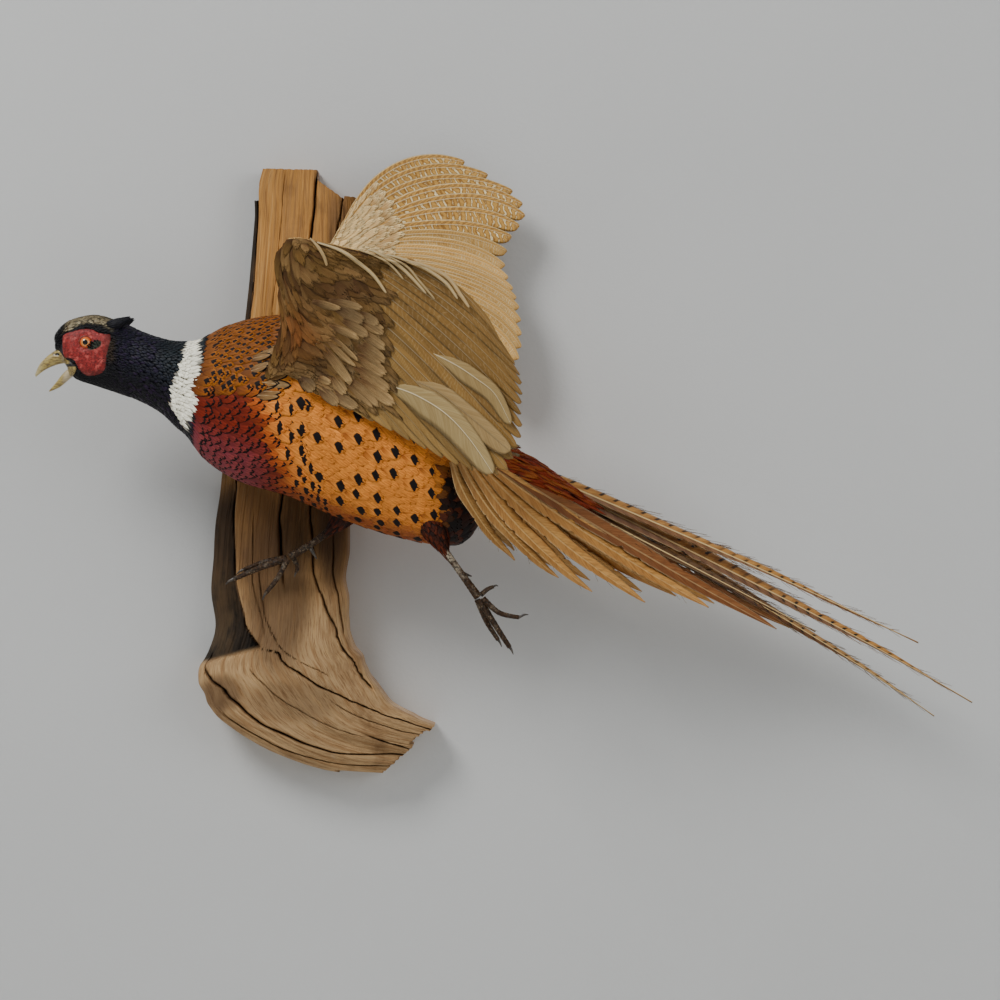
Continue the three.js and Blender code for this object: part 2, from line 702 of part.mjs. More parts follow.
function place(name, geometry, material) {
  const mesh = new THREE.Mesh(geometry, material);
  mesh.name = name;
  pheasant.add(mesh);
}

function addBody() {
  const [head, ...others] = BODY_PARTS;
  const sockets = [-1, 1].map((side) => eyeBall(side, GAP));
  place(head.name, carve(bodyPart(head), sockets), MATERIALS.head);
  others.forEach((part) => place(part.name, bodyPart(part), MATERIALS[part.name]));
  place('bill_upper', billHalf(BILL_UPPER), MATERIALS.bill);
  place('bill_lower', billHalf(BILL_LOWER), MATERIALS.bill);
  for (const [name, side] of [['left', -1], ['right', 1]]) {
    place(`eye_${name}`, eyeBall(side, 0), MATERIALS.eye);
    place(`ear_tuft_${name}`, earTuft(side), MATERIALS.tuft);
  }
}

function addWing(wing, material) {
  const body = wholeBodyGrown();
  place(`${wing.name}_arm`, carve(armPlate(wing), [body]), material);
  const cutters = [body, armPlate(wing, ARM_CLEARANCE)];
  const primaries = bladePlate(wing, BLADE_INSET, PRIMARY_SHARE - SEAM);
  place(`${wing.name}_primaries`, carve(primaries, cutters), material);
  const secondaries = bladePlate(wing, PRIMARY_SHARE + SEAM, 1 - BLADE_INSET);
  place(`${wing.name}_secondaries`, carve(secondaries, cutters), material);
}

function addTail() {
  const body = [wholeBodyGrown()];
  const central = [...centralFeathers(), limb(TAIL_ROOT, LEG_SIDES, 1)];
  const cutters = [...body, ...centralFeathers(GAP), limb(TAIL_ROOT, LEG_SIDES, 1, GAP)];
  place('tail_central', carve(union(central), body), MATERIALS.tail);
  const left = union(fan(FAN_LEFT, FAN_LEFT_BASE, -1));
  place('tail_left_fan', carve(left, cutters), MATERIALS.tail);
  const right = union(fan(FAN_RIGHT, FAN_RIGHT_BASE, 1));
  place('tail_right_fan', carve(right, cutters), MATERIALS.tail);
}

function clawOf(toe) {
  const [x, y, z, radius] = toe.path[toe.path.length - 1];
  const start = new THREE.Vector3(x, y, z);
  const tip = vector(toe.claw);
  const along = tip.clone().sub(start).normalize();
  start.addScaledVector(along, CLAW_START);
  const ends = [
    [...start.toArray(), radius * CLAW_ROOT_SHARE],
    [...tip.toArray(), CLAW_TIP_RADIUS],
  ];
  return limb(ends, TOE_SIDES, 1);
}

function addLeg(leg) {
  const tarsusGrown = limb(leg.tarsus, LEG_SIDES, TARSUS_STEPS, GAP);
  const thigh = limb(leg.thigh, THIGH_SIDES, THIGH_STEPS);
  place(`thigh_${leg.side}`, carve(thigh, [wholeBodyGrown(), tarsusGrown]), MATERIALS.trunk);
  const tarsus = limb(leg.tarsus, LEG_SIDES, TARSUS_STEPS);
  place(`tarsus_${leg.side}`, carve(tarsus, [wholeBodyGrown()]), MATERIALS.leg);
  const taken = [tarsusGrown];
  for (const toe of leg.toes) {
    const blank = limb(toe.path, TOE_SIDES, TOE_STEPS);
    place(`toe_${toe.name}_${leg.side}`, carve(blank, taken), MATERIALS.leg);
    place(`claw_${toe.name}_${leg.side}`, clawOf(toe), MATERIALS.claw);
    taken.push(limb(toe.path, TOE_SIDES, TOE_STEPS, GAP));
  }
  const spur = carve(limb(leg.spur, TOE_SIDES, 1), [tarsusGrown]);
  place(`spur_${leg.side}`, spur, MATERIALS.claw);
}

place('driftwood', driftwood(), MATERIALS.wood);
place('mount_rod', mountRod(), MATERIALS.steel);
addBody();
addWing(WING_LEFT, MATERIALS.wingUnder);
addWing(WING_RIGHT, MATERIALS.wingUpper);
addTail();
addLeg(LEG_LEFT);
addLeg(LEG_RIGHT);

export default pheasant;
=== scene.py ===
"""Looks of a cock pheasant mounted in flight on driftwood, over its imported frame."""

import math

import bpy
import numpy as np
from mathutils.bvhtree import BVHTree
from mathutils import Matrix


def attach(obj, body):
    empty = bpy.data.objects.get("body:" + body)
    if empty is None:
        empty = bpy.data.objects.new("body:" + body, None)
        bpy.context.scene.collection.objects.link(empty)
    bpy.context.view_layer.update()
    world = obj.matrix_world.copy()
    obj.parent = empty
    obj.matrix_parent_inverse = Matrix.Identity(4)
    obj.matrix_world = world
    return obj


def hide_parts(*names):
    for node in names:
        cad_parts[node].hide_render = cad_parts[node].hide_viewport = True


bl_info = {
    "name": "Mounted Pheasant",
    "version": (1, 0, 0),
    "blender": (4, 5, 0),
    "location": "View3D > Sidebar > Pheasant",
    "description": "Builds a mounted pheasant, feather by feather, over its frame",
    "category": "Object",
}

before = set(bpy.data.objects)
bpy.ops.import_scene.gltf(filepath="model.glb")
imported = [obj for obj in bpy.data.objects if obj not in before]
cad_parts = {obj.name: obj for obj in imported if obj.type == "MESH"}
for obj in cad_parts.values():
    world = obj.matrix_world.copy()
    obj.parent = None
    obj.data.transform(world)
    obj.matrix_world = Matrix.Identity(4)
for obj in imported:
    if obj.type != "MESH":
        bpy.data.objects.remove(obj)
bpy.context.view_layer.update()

MM = 0.001
ROOT = "root"
PATCH = 0.003  # side of one small feather's patch on the bake map
TIP_RADIUS = 0.45  # of a claw's point, in mm
SHAFT_SHARE = 0.021  # of a vane's half width, where a feather is all shaft

# Body stations in mm, bill end first: back x and z, belly x and z, half width, y.
BODY = np.array([
    (-193.5, -79, -193, -85, 2.5, -119), (-191, -72, -188, -93, 8, -119),
    (-185, -65, -180, -101, 12.5, -119), (-176, -60, -175, -111, 16.5, -119),
    (-156, -56.5, -156, -118, 18.5, -119), (-134, -63, -138, -124, 20, -118.5),
    (-113, -72, -119, -131, 22, -118), (-93, -78, -101, -141, 24.5, -117),
    (-78, -79, -87, -154, 28, -116), (-66, -77, -77, -163, 32, -115.5),
    (-44, -66, -61, -183, 42, -115), (-14, -58, -32, -201, 52, -115),
    (21, -57.5, 14, -215, 58, -115), (64, -73, 66, -237, 59, -115),
    (112, -104, 112, -251, 52, -115), (147, -130, 149, -257, 42, -114),
    (165, -145, 166, -252, 33, -113.5), (186, -157, 181, -232, 24, -113),
    (212, -170, 204, -205, 16, -113),
]) * MM
SECTION_POWER = 0.94
HEAD_Y = -119 * MM
EYE = np.array((-163.5, -13.6, -81)) * MM  # y from the head's middle plane
EYE_RADIUS = 6 * MM

BILL_UPPER = np.array([
    (-181, -80, -173, -99.6, 6.6, -119), (-191, -86.5, -184, -98.6, 6.2, -119),
    (-199.3, -92.6, -193, -100.6, 4.9, -119), (-206, -100, -201.5, -104.7, 3.4, -119),
    (-209.6, -108.5, -208.6, -110.2, 0.9, -119),
]) * MM
BILL_LOWER = np.array([
    (-174.5, -100.5, -169.5, -106.5, 6.4, -119), (-181.3, -103.6, -177.4, -110.6, 5.8, -119),
    (-186.6, -108.9, -182.8, -115.1, 4.6, -119), (-191.3, -115, -188.4, -119.4, 3, -119),
    (-197.5, -122.4, -196.9, -123.2, 0.8, -119),
]) * MM

# Bare red skin of the face: its outline round the eye, x and z.
FACE = np.array([
    (-184.2, -75.9), (-182, -73.5), (-175.3, -71.1), (-168.5, -69.6), (-161.8, -69.1),
    (-156.9, -70.1), (-152.1, -72.7), (-146.3, -73.7), (-142, -74.2), (-141.6, -79.3),
    (-142.9, -85.1), (-144.9, -93.8), (-146, -103.4), (-149.4, -107.8), (-156, -109.9),
    (-163.7, -109.8), (-169.6, -104.6), (-172.2, -99), (-176.2, -95.1), (-182.6, -94),
    (-184.2, -88.9), (-184.4, -82.2),
]) * MM

# Skin at the corner of the open bill, x and z, and a place inside it.
GAPE = np.array([
    (-186, -96.4), (-179, -96.8), (-174.5, -99), (-171.8, -103), (-173.2, -107),
    (-177.5, -110.6), (-182, -109.6), (-180, -104.5),
]) * MM
GAPE_MIDDLE = np.array((-177, -103)) * MM

WINGS = {
    "left": {
        "lead": [(109, -226, -15), (76, -226, -9), (45, -224, -2), (19, -222, 1),
                 (8, -215, -17), (9, -203, -46), (9, -190, -74), (-2, -172, -103)],
        "tips": [(193, -231, -82), (211, -226, -112), (213, -214, -140), (211, -202, -172),
                 (192, -189, -198), (150, -180, -184), (100, -182, -158), (42, -182, -129)],
        "bow": (13, 5), "camber": 7,
    },
    "right": {
        "lead": [(57, -51, 30), (47, -54, 15), (38, -57, 0), (30, -61, -20),
                 (24, -64, -42), (19, -67, -66), (16, -70, -90), (14, -73, -108)],
        "tips": [(157, -36, 87), (199, -32, 66), (217, -32, 36), (203, -36, -4),
                 (209, -40, -34), (213, -46, -72), (196, -54, -108), (110, -62, -130)],
        "bow": (19, 6), "camber": -5,
    },
}
FEATHERS_PER_WING = 24
OUTER_SHARE = 0.43  # the part of the wing whose long feathers are primaries

# Tail feathers: tip, width and sideways arch, the outermost first.
FAN = {
    "left": {
        "base": ((153, -158, -184), (194, -137, -186)), "side": -1,
        "feathers": [((207, -163, -269), 20, -11), ((246, -158, -283), 21, -12),
                     ((276, -151, -294), 22, -11), ((323, -142, -302), 23, -9),
                     ((379, -128, -306), 24, -5), ((440, -114, -324), 22, -3)],
    },
    "right": {
        "base": ((156, -72, -184), (194, -91, -186)), "side": 1,
        "feathers": [((207, -66, -262), 20, -9), ((245, -69, -276), 21, -11),
                     ((276, -73, -286), 22, -11), ((322, -78, -294), 23, -10),
                     ((352, -81, -297), 23, -8), ((386, -84, -302), 23, -7),
                     ((452, -80, -322), 21, -5)],
    },
}
CENTRAL = [
    ((188, -110, -176), (566, -72, -340), 26, 6),
    ((188, -113, -178), (613, -72, -394), 38, 11),
    ((188, -117, -182), (577, -82, -407), 36, 17),
    ((188, -120, -186), (470, -96, -334), 26, 2),
]

# Legs: points with a radius each, thigh, tarsus, toes, claws and spur.
LEGS = {
    "left": {
        "thigh": [(128, -132, -222, 17), (140, -138, -246, 11), (146, -141, -259, 5.2)],
        "tarsus": [(144, -141, -257, 3.6), (158, -143.5, -276, 2.9), (176, -147, -301, 3.7)],
        "toes": {
            "middle": [(177, -148, -303, 2.9), (190, -149, -324, 2.5), (203, -150, -344, 2),
                       (206, -150.5, -350)],
            "inner": [(175, -144, -303, 2.6), (183, -141, -322, 2.2), (193, -139, -338, 1.8),
                      (196, -138.5, -344)],
            "outer": [(180, -150, -302, 2.6), (194, -154, -314, 2.2), (211, -156, -318, 1.8),
                      (219, -156.5, -315.5)],
            "hind": [(178, -145, -299, 2.2), (184, -143, -294, 1.9), (189, -142, -292, 1.5),
                     (193, -141.5, -291.5)],
        },
        "spur": [(161, -143, -280, 2.2), (170, -139, -283, 0.6)],
    },
    "right": {
        "thigh": [(72, -92, -212, 17), (58, -89, -230, 11), (47, -88, -242.5, 5.2)],
        "tarsus": [(49, -88, -241, 3.6), (30, -85, -255, 2.9), (10, -82, -267, 3.7)],
        "toes": {
            "middle": [(7, -82, -269, 2.9), (-17, -80.5, -277, 2.5), (-40, -80, -287, 2),
                       (-47, -80, -291.5)],
            "inner": [(8, -86, -269.5, 2.6), (-1, -88, -286, 2.2), (-11, -88, -299, 1.8),
                      (-14, -88, -305)],
            "outer": [(6, -77.5, -268, 2.6), (-14, -75, -272, 2.2), (-32, -74, -279, 1.8),
                      (-38, -74, -283)],
            "hind": [(13, -80, -269, 2.2), (16, -79, -276, 1.9), (15, -78.5, -281, 1.5),
                     (13.5, -78, -285)],
        },
        "spur": [(27, -83, -258, 2.2), (33, -79, -269, 0.6)],
    },
}

# Driftwood: left x, left z, right x, right z and front depth, top first.
WOOD = np.array([
    (-24, 82, 66, 82, 33), (-28, 30, 66, 30, 36), (-35, -40, 66, -40, 38),
    (-46, -120, 64, -120, 41), (-57, -200, 61, -200, 45), (-64, -268, 58, -262, 52),
    (-63, -335, 57, -310, 60), (-74, -372, 62, -341, 64), (-68, -396, 72, -362, 64),
    (-46, -420, 84, -381, 60), (-10, -442, 98, -399, 54), (38, -459, 118, -410, 46),
    (88, -464, 138, -419, 36),
]) * MM
CRACKS = [((0.05, 0.17, 0.2), 9), ((0.615, 0.49, 0.78), 12), ((0.885, 0.8, 0.92), 8)]
LATHS = [((33, 33), 0.1), ((4, 6), 0), ((17, 33), 0.28), ((31, 31), 0.05)]

FLESH = ["head", "neck", "collar", "trunk", "rump", "wing_left_arm", "wing_right_arm",
         "thigh_left", "thigh_right"]


# --------------------------------------------------------------- properties
def length_property(name, value, about):
    """A length that a user may change, in metres."""
    return bpy.props.FloatProperty(
        name=name, description=about, default=value, subtype="DISTANCE", unit="LENGTH")


def colour_property(name, code, about):
    """A colour that a user may change, from a six-digit code."""
    return bpy.props.FloatVectorProperty(
        name=name, description=about, default=linear(code), size=3, min=0, max=1,
        subtype="COLOR")


def linear(code):
    """Scene-linear colour of a six-digit code."""
    parts = [int(code[k:k + 2], 16) / 255 for k in (0, 2, 4)]
    return tuple(c / 12.92 if c <= 0.04045 else ((c + 0.055) / 1.055) ** 2.4 for c in parts)


class PheasantSizes(bpy.types.PropertyGroup):
    """Sizes of the coat and of the feathers."""

    flank: length_property("Flank feather", 0.024, "Length of a flank feather")
    breast: length_property("Breast feather", 0.0165, "Length of a breast feather")
    neck: length_property("Neck feather", 0.0085, "Length of a neck feather")
    crown: length_property("Crown feather", 0.0052, "Length of a crown feather")
    coat: length_property("Coat depth", 0.0026, "Depth of the coat over the trunk")
    shaft: length_property("Shaft", 0.0006, "Half width of a flight feather's shaft")
    voxel: length_property("Skin detail", 0.0024, "Size of the skin's smallest detail")


class PheasantColours(bpy.types.PropertyGroup):
    """Colours of the plumage, the bare parts and the mount."""

    gold: colour_property("Flank gold", "E68F36", "Golden orange of the flanks")
    amber: colour_property("Amber", "BC6C24", "Deeper orange between gold and maroon")
    mantle: colour_property("Mantle", "9E5A14", "Orange brown of the mantle")
    maroon: colour_property("Breast", "6C1B04", "Dark maroon of the breast")
    purple: colour_property("Gloss", "7E3440", "Purple gloss low on the breast")
    ink: colour_property("Markings", "0E0504", "Near-black of the markings")
    navy: colour_property("Neck", "090C25", "Blue gloss of the neck")
    teal: colour_property("Neck base", "04161B", "Green gloss at the foot of the neck")
    crown: colour_property("Crown", "857A5C", "Green brown of the crown")
    white: colour_property("Collar", "FFF9E2", "White of the neck ring")
    face: colour_property("Face", "9C2C28", "Red bare skin round the eye")
    horn: colour_property("Bill", "B29C58", "Horn colour of the bill")
    iris: colour_property("Iris", "D0571A", "Orange of the iris")
    sand: colour_property("Wing above", "C4974E", "Sandy brown of the wing's upper side")
    cream: colour_property("Wing bars", "F8E6B4", "Cream of bars and shafts")
    olive: colour_property("Wing below", "8A6C3A", "Olive brown of the wing's under side")
    tail: colour_property("Tail", "D09850", "Tan of the tail")
    rust: colour_property("Rust", "7A3009", "Rust red of the tail's coverts")
    wood: colour_property("Driftwood", "BD8746", "Orange brown of the driftwood")
    leg: colour_property("Legs", "3A2614", "Grey brown of the legs")


# -------------------------------------------------------------------- curves
def smooth(rows, place):
    """Smooth values at places along evenly spaced rows, straight on past the ends."""
    rows = np.asarray(rows, float)
    last = len(rows) - 1
    place = np.asarray(place, float)
    inside = np.clip(place, 0, last)
    k = np.minimum(inside.astype(int), last - 1)
    t = (inside - k)[..., None]
    a, b = rows[np.maximum(k - 1, 0)], rows[k]
    c, d = rows[k + 1], rows[np.minimum(k + 2, last)]
    value = 0.5 * (2 * b + (c - a) * t + (2 * a - 5 * b + 4 * c - d) * t ** 2
                   + (3 * b - a - 3 * c + d) * t ** 3)
    beyond = np.where((place > last)[..., None], rows[-1] - rows[-2], rows[1] - rows[0])
    return value + (place - inside)[..., None] * beyond


def lerp(a, b, t):
    return a + (b - a) * t


def ease(x, low, high):
    """0 below low, 1 above high, smooth between."""
    t = np.clip((np.asarray(x, float) - low) / (high - low), 0, 1)
    return t * t * (3 - 2 * t)


def unit(v):
    return v / np.maximum(np.linalg.norm(v, axis=-1, keepdims=True), 1e-12)


def blend_colours(*layers):
    """Colours laid over each other: the first, then pairs of colour and share."""
    out = np.asarray(layers[0], float)
    for colour, share in layers[1:]:
        out = lerp(out, np.asarray(colour), np.asarray(share)[..., None])
    return out


def value_noise(x, y, seed):
    """Smooth noise from 0 to 1 over a plane, with one bump a unit."""
    table = np.random.default_rng(seed).random((64, 64))
    xi, yi = np.floor(x).astype(int), np.floor(y).astype(int)
    tx, ty = ease(x - xi, 0, 1), ease(y - yi, 0, 1)
    near = lerp(table[xi % 64, yi % 64], table[(xi + 1) % 64, yi % 64], tx)
    far = lerp(table[xi % 64, (yi + 1) % 64], table[(xi + 1) % 64, (yi + 1) % 64], tx)
    return lerp(near, far, ty)


def signed_power(value):
    return np.sign(value) * np.abs(value) ** SECTION_POWER


def section_point(stations, s, a):
    """Point on a lofted body: s along its stations, a round from the back."""
    s, a = np.broadcast_arrays(s, a)
    k = smooth(stations, s)
    top = k[..., [0, 5, 1]]
    bottom = k[..., [2, 5, 3]]
    rise = signed_power(np.cos(a))[..., None]
    point = (top + bottom) / 2 + (top - bottom) / 2 * rise
    point[..., 1] += k[..., 4] * signed_power(np.sin(a))
    return point


def body_surface(s, a):
    return section_point(BODY, s, a)


def limb_rows(path):
    """Points in metres from points in mm, each with its radius or a claw tip's."""
    return np.array([p if len(p) == 4 else (*p, TIP_RADIUS) for p in path]) * MM


def limb_surface(path):
    """Surface of a round bar through points that each carry a radius, in mm."""
    rows = limb_rows(path)

    def surface(s, a):
        s, a = np.broadcast_arrays(s, a)
        k = smooth(rows, s)
        along = unit(smooth(rows, s + 0.02)[..., :3] - smooth(rows, s - 0.02)[..., :3])
        across = unit(np.cross((0, 1, 0), along))
        third = np.cross(along, across)
        radius = np.maximum(k[..., 3:], 0.3 * MM)
        return (k[..., :3] + across * radius * np.cos(a)[..., None]
                + third * radius * np.sin(a)[..., None])
    return surface


def wing_line(wing, f):
    """Start, bend and end of the feather line at share f of the wing."""
    start = smooth(np.array(wing["lead"]) * MM, f * 7)
    end = smooth(np.array(wing["tips"]) * MM, f * 7)
    chord = end - start
    arch = np.stack((-chord[..., 2], np.zeros_like(f), chord[..., 0]), -1)
    bow = lerp(wing["bow"][0], wing["bow"][1], f)[..., None] * MM
    return start, (start + end) / 2 + unit(arch) * 2 * bow, end


def wing_surface(wing):
    """The wing's middle surface: f from the outer edge to the body, v outward."""
    def surface(v, f):
        v, f = np.broadcast_arrays(np.asarray(v, float), np.asarray(f, float))
        start, bend, end = wing_line(wing, f)
        w = v[..., None]
        point = start * (1 - w) ** 2 + bend * 2 * w * (1 - w) + end * w * w
        point[..., 1] += wing["camber"] * MM * 4 * v * (1 - v) * (1 - 0.6 * f)
        return point
    return surface


def distances(line):
    """How far along a line of points each one is."""
    return np.concatenate(([0], np.cumsum(np.linalg.norm(np.diff(line, axis=0), axis=1))))


def closing(t, power, least):
    """Share of the full width that an end leaves: the higher the power, the blunter."""
    return np.sqrt(np.clip(1 - t ** power, least, 1))


def rates(surface, s, a, step=0.01):
    """Point, change along and change across of a surface."""
    along = (surface(s + step, a) - surface(s - step, a)) / (2 * step)
    across = (surface(s, a + step) - surface(s, a - step)) / (2 * step)
    return surface(s, a), along, across


# --------------------------------------------------------------- mesh making
def mesh_object(name, points, faces):
    """A new mesh object at the origin from points and lists of equal-sized faces."""
    mesh = bpy.data.meshes.new(name)
    faces = [np.asarray(f, int) for f in faces if len(f)]
    loops = np.concatenate([f.ravel() for f in faces])
    sizes = np.concatenate([np.full(len(f), f.shape[1]) for f in faces])
    mesh.vertices.add(len(points))
    mesh.vertices.foreach_set("co", np.asarray(points, float).ravel())
    mesh.loops.add(len(loops))
    mesh.loops.foreach_set("vertex_index", loops)
    mesh.polygons.add(len(sizes))
    mesh.polygons.foreach_set("loop_start", np.cumsum(sizes) - sizes)
    mesh.polygons.foreach_set("use_smooth", np.ones(len(sizes), bool))
    mesh.update(calc_edges=True)
    mesh.validate()
    piece = bpy.data.objects.new(name, mesh)
    bpy.context.scene.collection.objects.link(piece)
    return piece


def add_map(mesh, name, places):
    """A UV map from one place for each vertex."""
    corners = np.empty(len(mesh.loops), int)
    mesh.loops.foreach_get("vertex_index", corners)
    mesh.uv_layers.new(name=name).data.foreach_set("uv", places[corners].ravel())


def add_values(mesh, name, values):
    """A named value or colour for each vertex."""
    kind, field = ("FLOAT", "value") if values.ndim == 1 else ("FLOAT_VECTOR", "vector")
    mesh.attributes.new(name, kind, "POINT").data.foreach_set(field, values.ravel())


def finish(piece, material, slot, *nodes):
    """Gives a piece its material and its body, and hides the nodes it stands for; slot is not
    used.
    """
    piece.data.materials.clear()
    piece.data.materials.append(material)
    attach(piece, ROOT)
    if nodes:
        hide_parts(*nodes)
    return piece


def deselect():
    bpy.ops.object.select_all(action="DESELECT")


def make_active(*pieces):
    deselect()
    for piece in pieces:
        piece.select_set(True)
    bpy.context.view_layer.objects.active = pieces[0]


def tube(surface, lengths, sides):
    """Points and faces of a closed tube over a surface."""
    angles = np.linspace(0, 2 * np.pi, sides, endpoint=False)
    points = surface(lengths[:, None], angles[None, :]).reshape(-1, 3)
    i, j = np.meshgrid(np.arange(len(lengths) - 1), np.arange(sides), indexing="ij")
    a, b = i * sides + j, i * sides + (j + 1) % sides
    quads = np.stack((a, b, b + sides, a + sides), -1).reshape(-1, 4)
    ends = [np.arange(sides)[::-1], np.arange(sides) + (len(lengths) - 1) * sides]
    faces = [quads, np.array(ends)]
    if enclosed(points, quads) < 0:
        faces = [f[:, ::-1] for f in faces]
    return points, faces


def enclosed(points, quads):
    """Signed volume under quads, enough to tell inside from outside."""
    p = points - points.mean(0)
    a, b, c, d = (p[quads[:, k]] for k in range(4))
    return np.sum(np.cross(b - a, c - a) * a) + np.sum(np.cross(c - a, d - a) * a)


# --------------------------------------------------------------------- vanes
class Vane:
    """The shape of one feather, as closed rings from root to tip."""

    def __init__(self, rows, above, below, fray=0.0):
        self.size, last = len(above) + len(below), len(rows) - 1
        self.t = np.repeat(rows, self.size)
        self.u = np.tile([*above, *below], len(rows))
        self.on_shaft = np.abs(self.u) <= SHAFT_SHARE
        self.face = np.tile([1.0] * len(above) + [-1.0] * len(below), len(rows))
        self.face[np.abs(self.u) >= 1] = 0
        ragged = np.tile([fray * (k % 2) for k in range(self.size)], len(rows))
        self.reach = self.t * (1 - ragged * self.t ** 3)
        ring = np.arange(self.size)
        start = np.arange(last)[:, None] * self.size
        here, beside = start + ring, start + (ring + 1) % self.size
        self.quads = np.stack((here, beside, beside + self.size, here + self.size),
                              -1).reshape(-1, 4)
        self.caps = np.array([ring[::-1], ring + last * self.size])
        self.under = np.tile(ring >= len(above) - 1, last)


NARROW = (-1, -0.5, 0, 0.5, 1)  # places across the upper side of a vane
WIDE = (-1, -0.72, -0.44, -0.15, 0.15, 0.44, 0.72, 1)


def long_vane(rows, power, *half):
    """A vane with its shaft on both faces, its rows closer near the root."""
    above = (-1, *(-u for u in half), -0.02, 0, 0.02, *half[::-1], 1)
    return Vane(np.linspace(0, 1, rows) ** power, above, above[-2:0:-1])


def feathers(name, vane, points, roots, tint, tip, mark, chance, material, slot, *nodes):
    """Many feathers as one piece: points are (feather, place in the vane, xyz).

    Roots are the feathers' places on the bake map; without them each has a strip."""
    count, size = points.shape[:2]
    starts = np.arange(count)[:, None, None] * size
    piece = mesh_object(name, points.reshape(-1, 3), [
        (part + starts).reshape(-1, part.shape[1]) for part in (vane.quads, vane.caps)])
    local = np.stack((vane.u * 0.5 + 0.5, vane.t), -1)
    add_map(piece.data, "Vane", np.tile(local, (count, 1)))
    if roots is None:
        wide = np.where(vane.face < 0, 0.75, 0.25) + vane.u * 0.2
        wide = (np.arange(count)[:, None] + wide) / count
        bake = np.stack((wide, np.broadcast_to(vane.t * 0.98 + 0.01, wide.shape)), -1)
    else:
        bake = roots[:, None] * (1 - PATCH) + local * PATCH
    add_map(piece.data, "OFBake", bake.reshape(-1, 2))
    if mark is None:
        mark = np.zeros((count, 3))
    for key, value in (("Tint", tint), ("Tip", tip), ("Mark", mark), ("Chance", chance)):
        add_values(piece.data, key, np.repeat(value, size, axis=0))
    under = np.concatenate((np.tile(vane.under, count), np.zeros(2 * count)))
    piece.data.attributes.new("Under", "FLOAT", "FACE").data.foreach_set("value", under)
    return finish(piece, material, slot, *nodes)


def round_vane(t):
    """Share of the full width of a rounded body feather."""
    return np.clip(t * 3.2 + 0.22, 0, 1) * closing(t, 4.5, 0.0009)


def lay_vanes(vane, surface, s, a, length, width, turn, sink, lift, thick, chance,
              side=1, shape=round_vane, droop=0.03, base=None):
    """Points of feathers that lie on a surface and follow it from root to tip."""
    column = (slice(None), None)
    sink, lift = (np.broadcast_to(k, s.shape)[column] for k in (sink, lift))
    _, along, across = rates(surface, s, a)
    normal = unit(np.cross(along, across)) * side
    hand = np.sign(np.sum(np.cross(along, normal) * across, -1))
    x = length[column] * vane.reach
    y = width[column] * shape(vane.t) * vane.u * 0.5
    rate_s = np.linalg.norm(along, axis=-1)[column]
    rate_a = np.linalg.norm(across, axis=-1)[column]
    cos, sin = np.cos(turn)[column], np.sin(turn)[column]
    s2 = s[column] + (x * cos - y * sin) / rate_s
    a2 = a[column] + hand[column] * (x * sin + y * cos) / rate_a
    spot, along, across = rates(surface, s2, a2)
    normal = unit(np.cross(along, across)) * side
    rise = lerp(-0.45 * sink, lift, vane.t) - 0.55 * sink * ease(vane.t, 0.35, 0)
    roll = (0.04 + (chance[column] - 0.5) * 0.05) * y
    height = rise + roll - droop * width[column] * vane.u ** 2 + vane.face * thick / 2
    if base is not None:
        height = height + base(s2, a2)
    return spot + normal * height[..., None]


# ----------------------------------------------------------------- materials
class Term:
    """A shader value that plain arithmetic turns into Math nodes."""

    def __init__(self, graph, socket):
        self.graph, self.socket = graph, socket

    def __rsub__(self, other):
        return self.graph.maths("SUBTRACT", other, self)

    def __abs__(self):
        return self.graph.maths("ABSOLUTE", self)


for sign, operation in (("add", "ADD"), ("sub", "SUBTRACT"), ("mul", "MULTIPLY"),
                        ("truediv", "DIVIDE"), ("or", "MAXIMUM")):
    setattr(Term, f"__{sign}__",
            lambda self, other, kind=operation: self.graph.maths(kind, self, other))


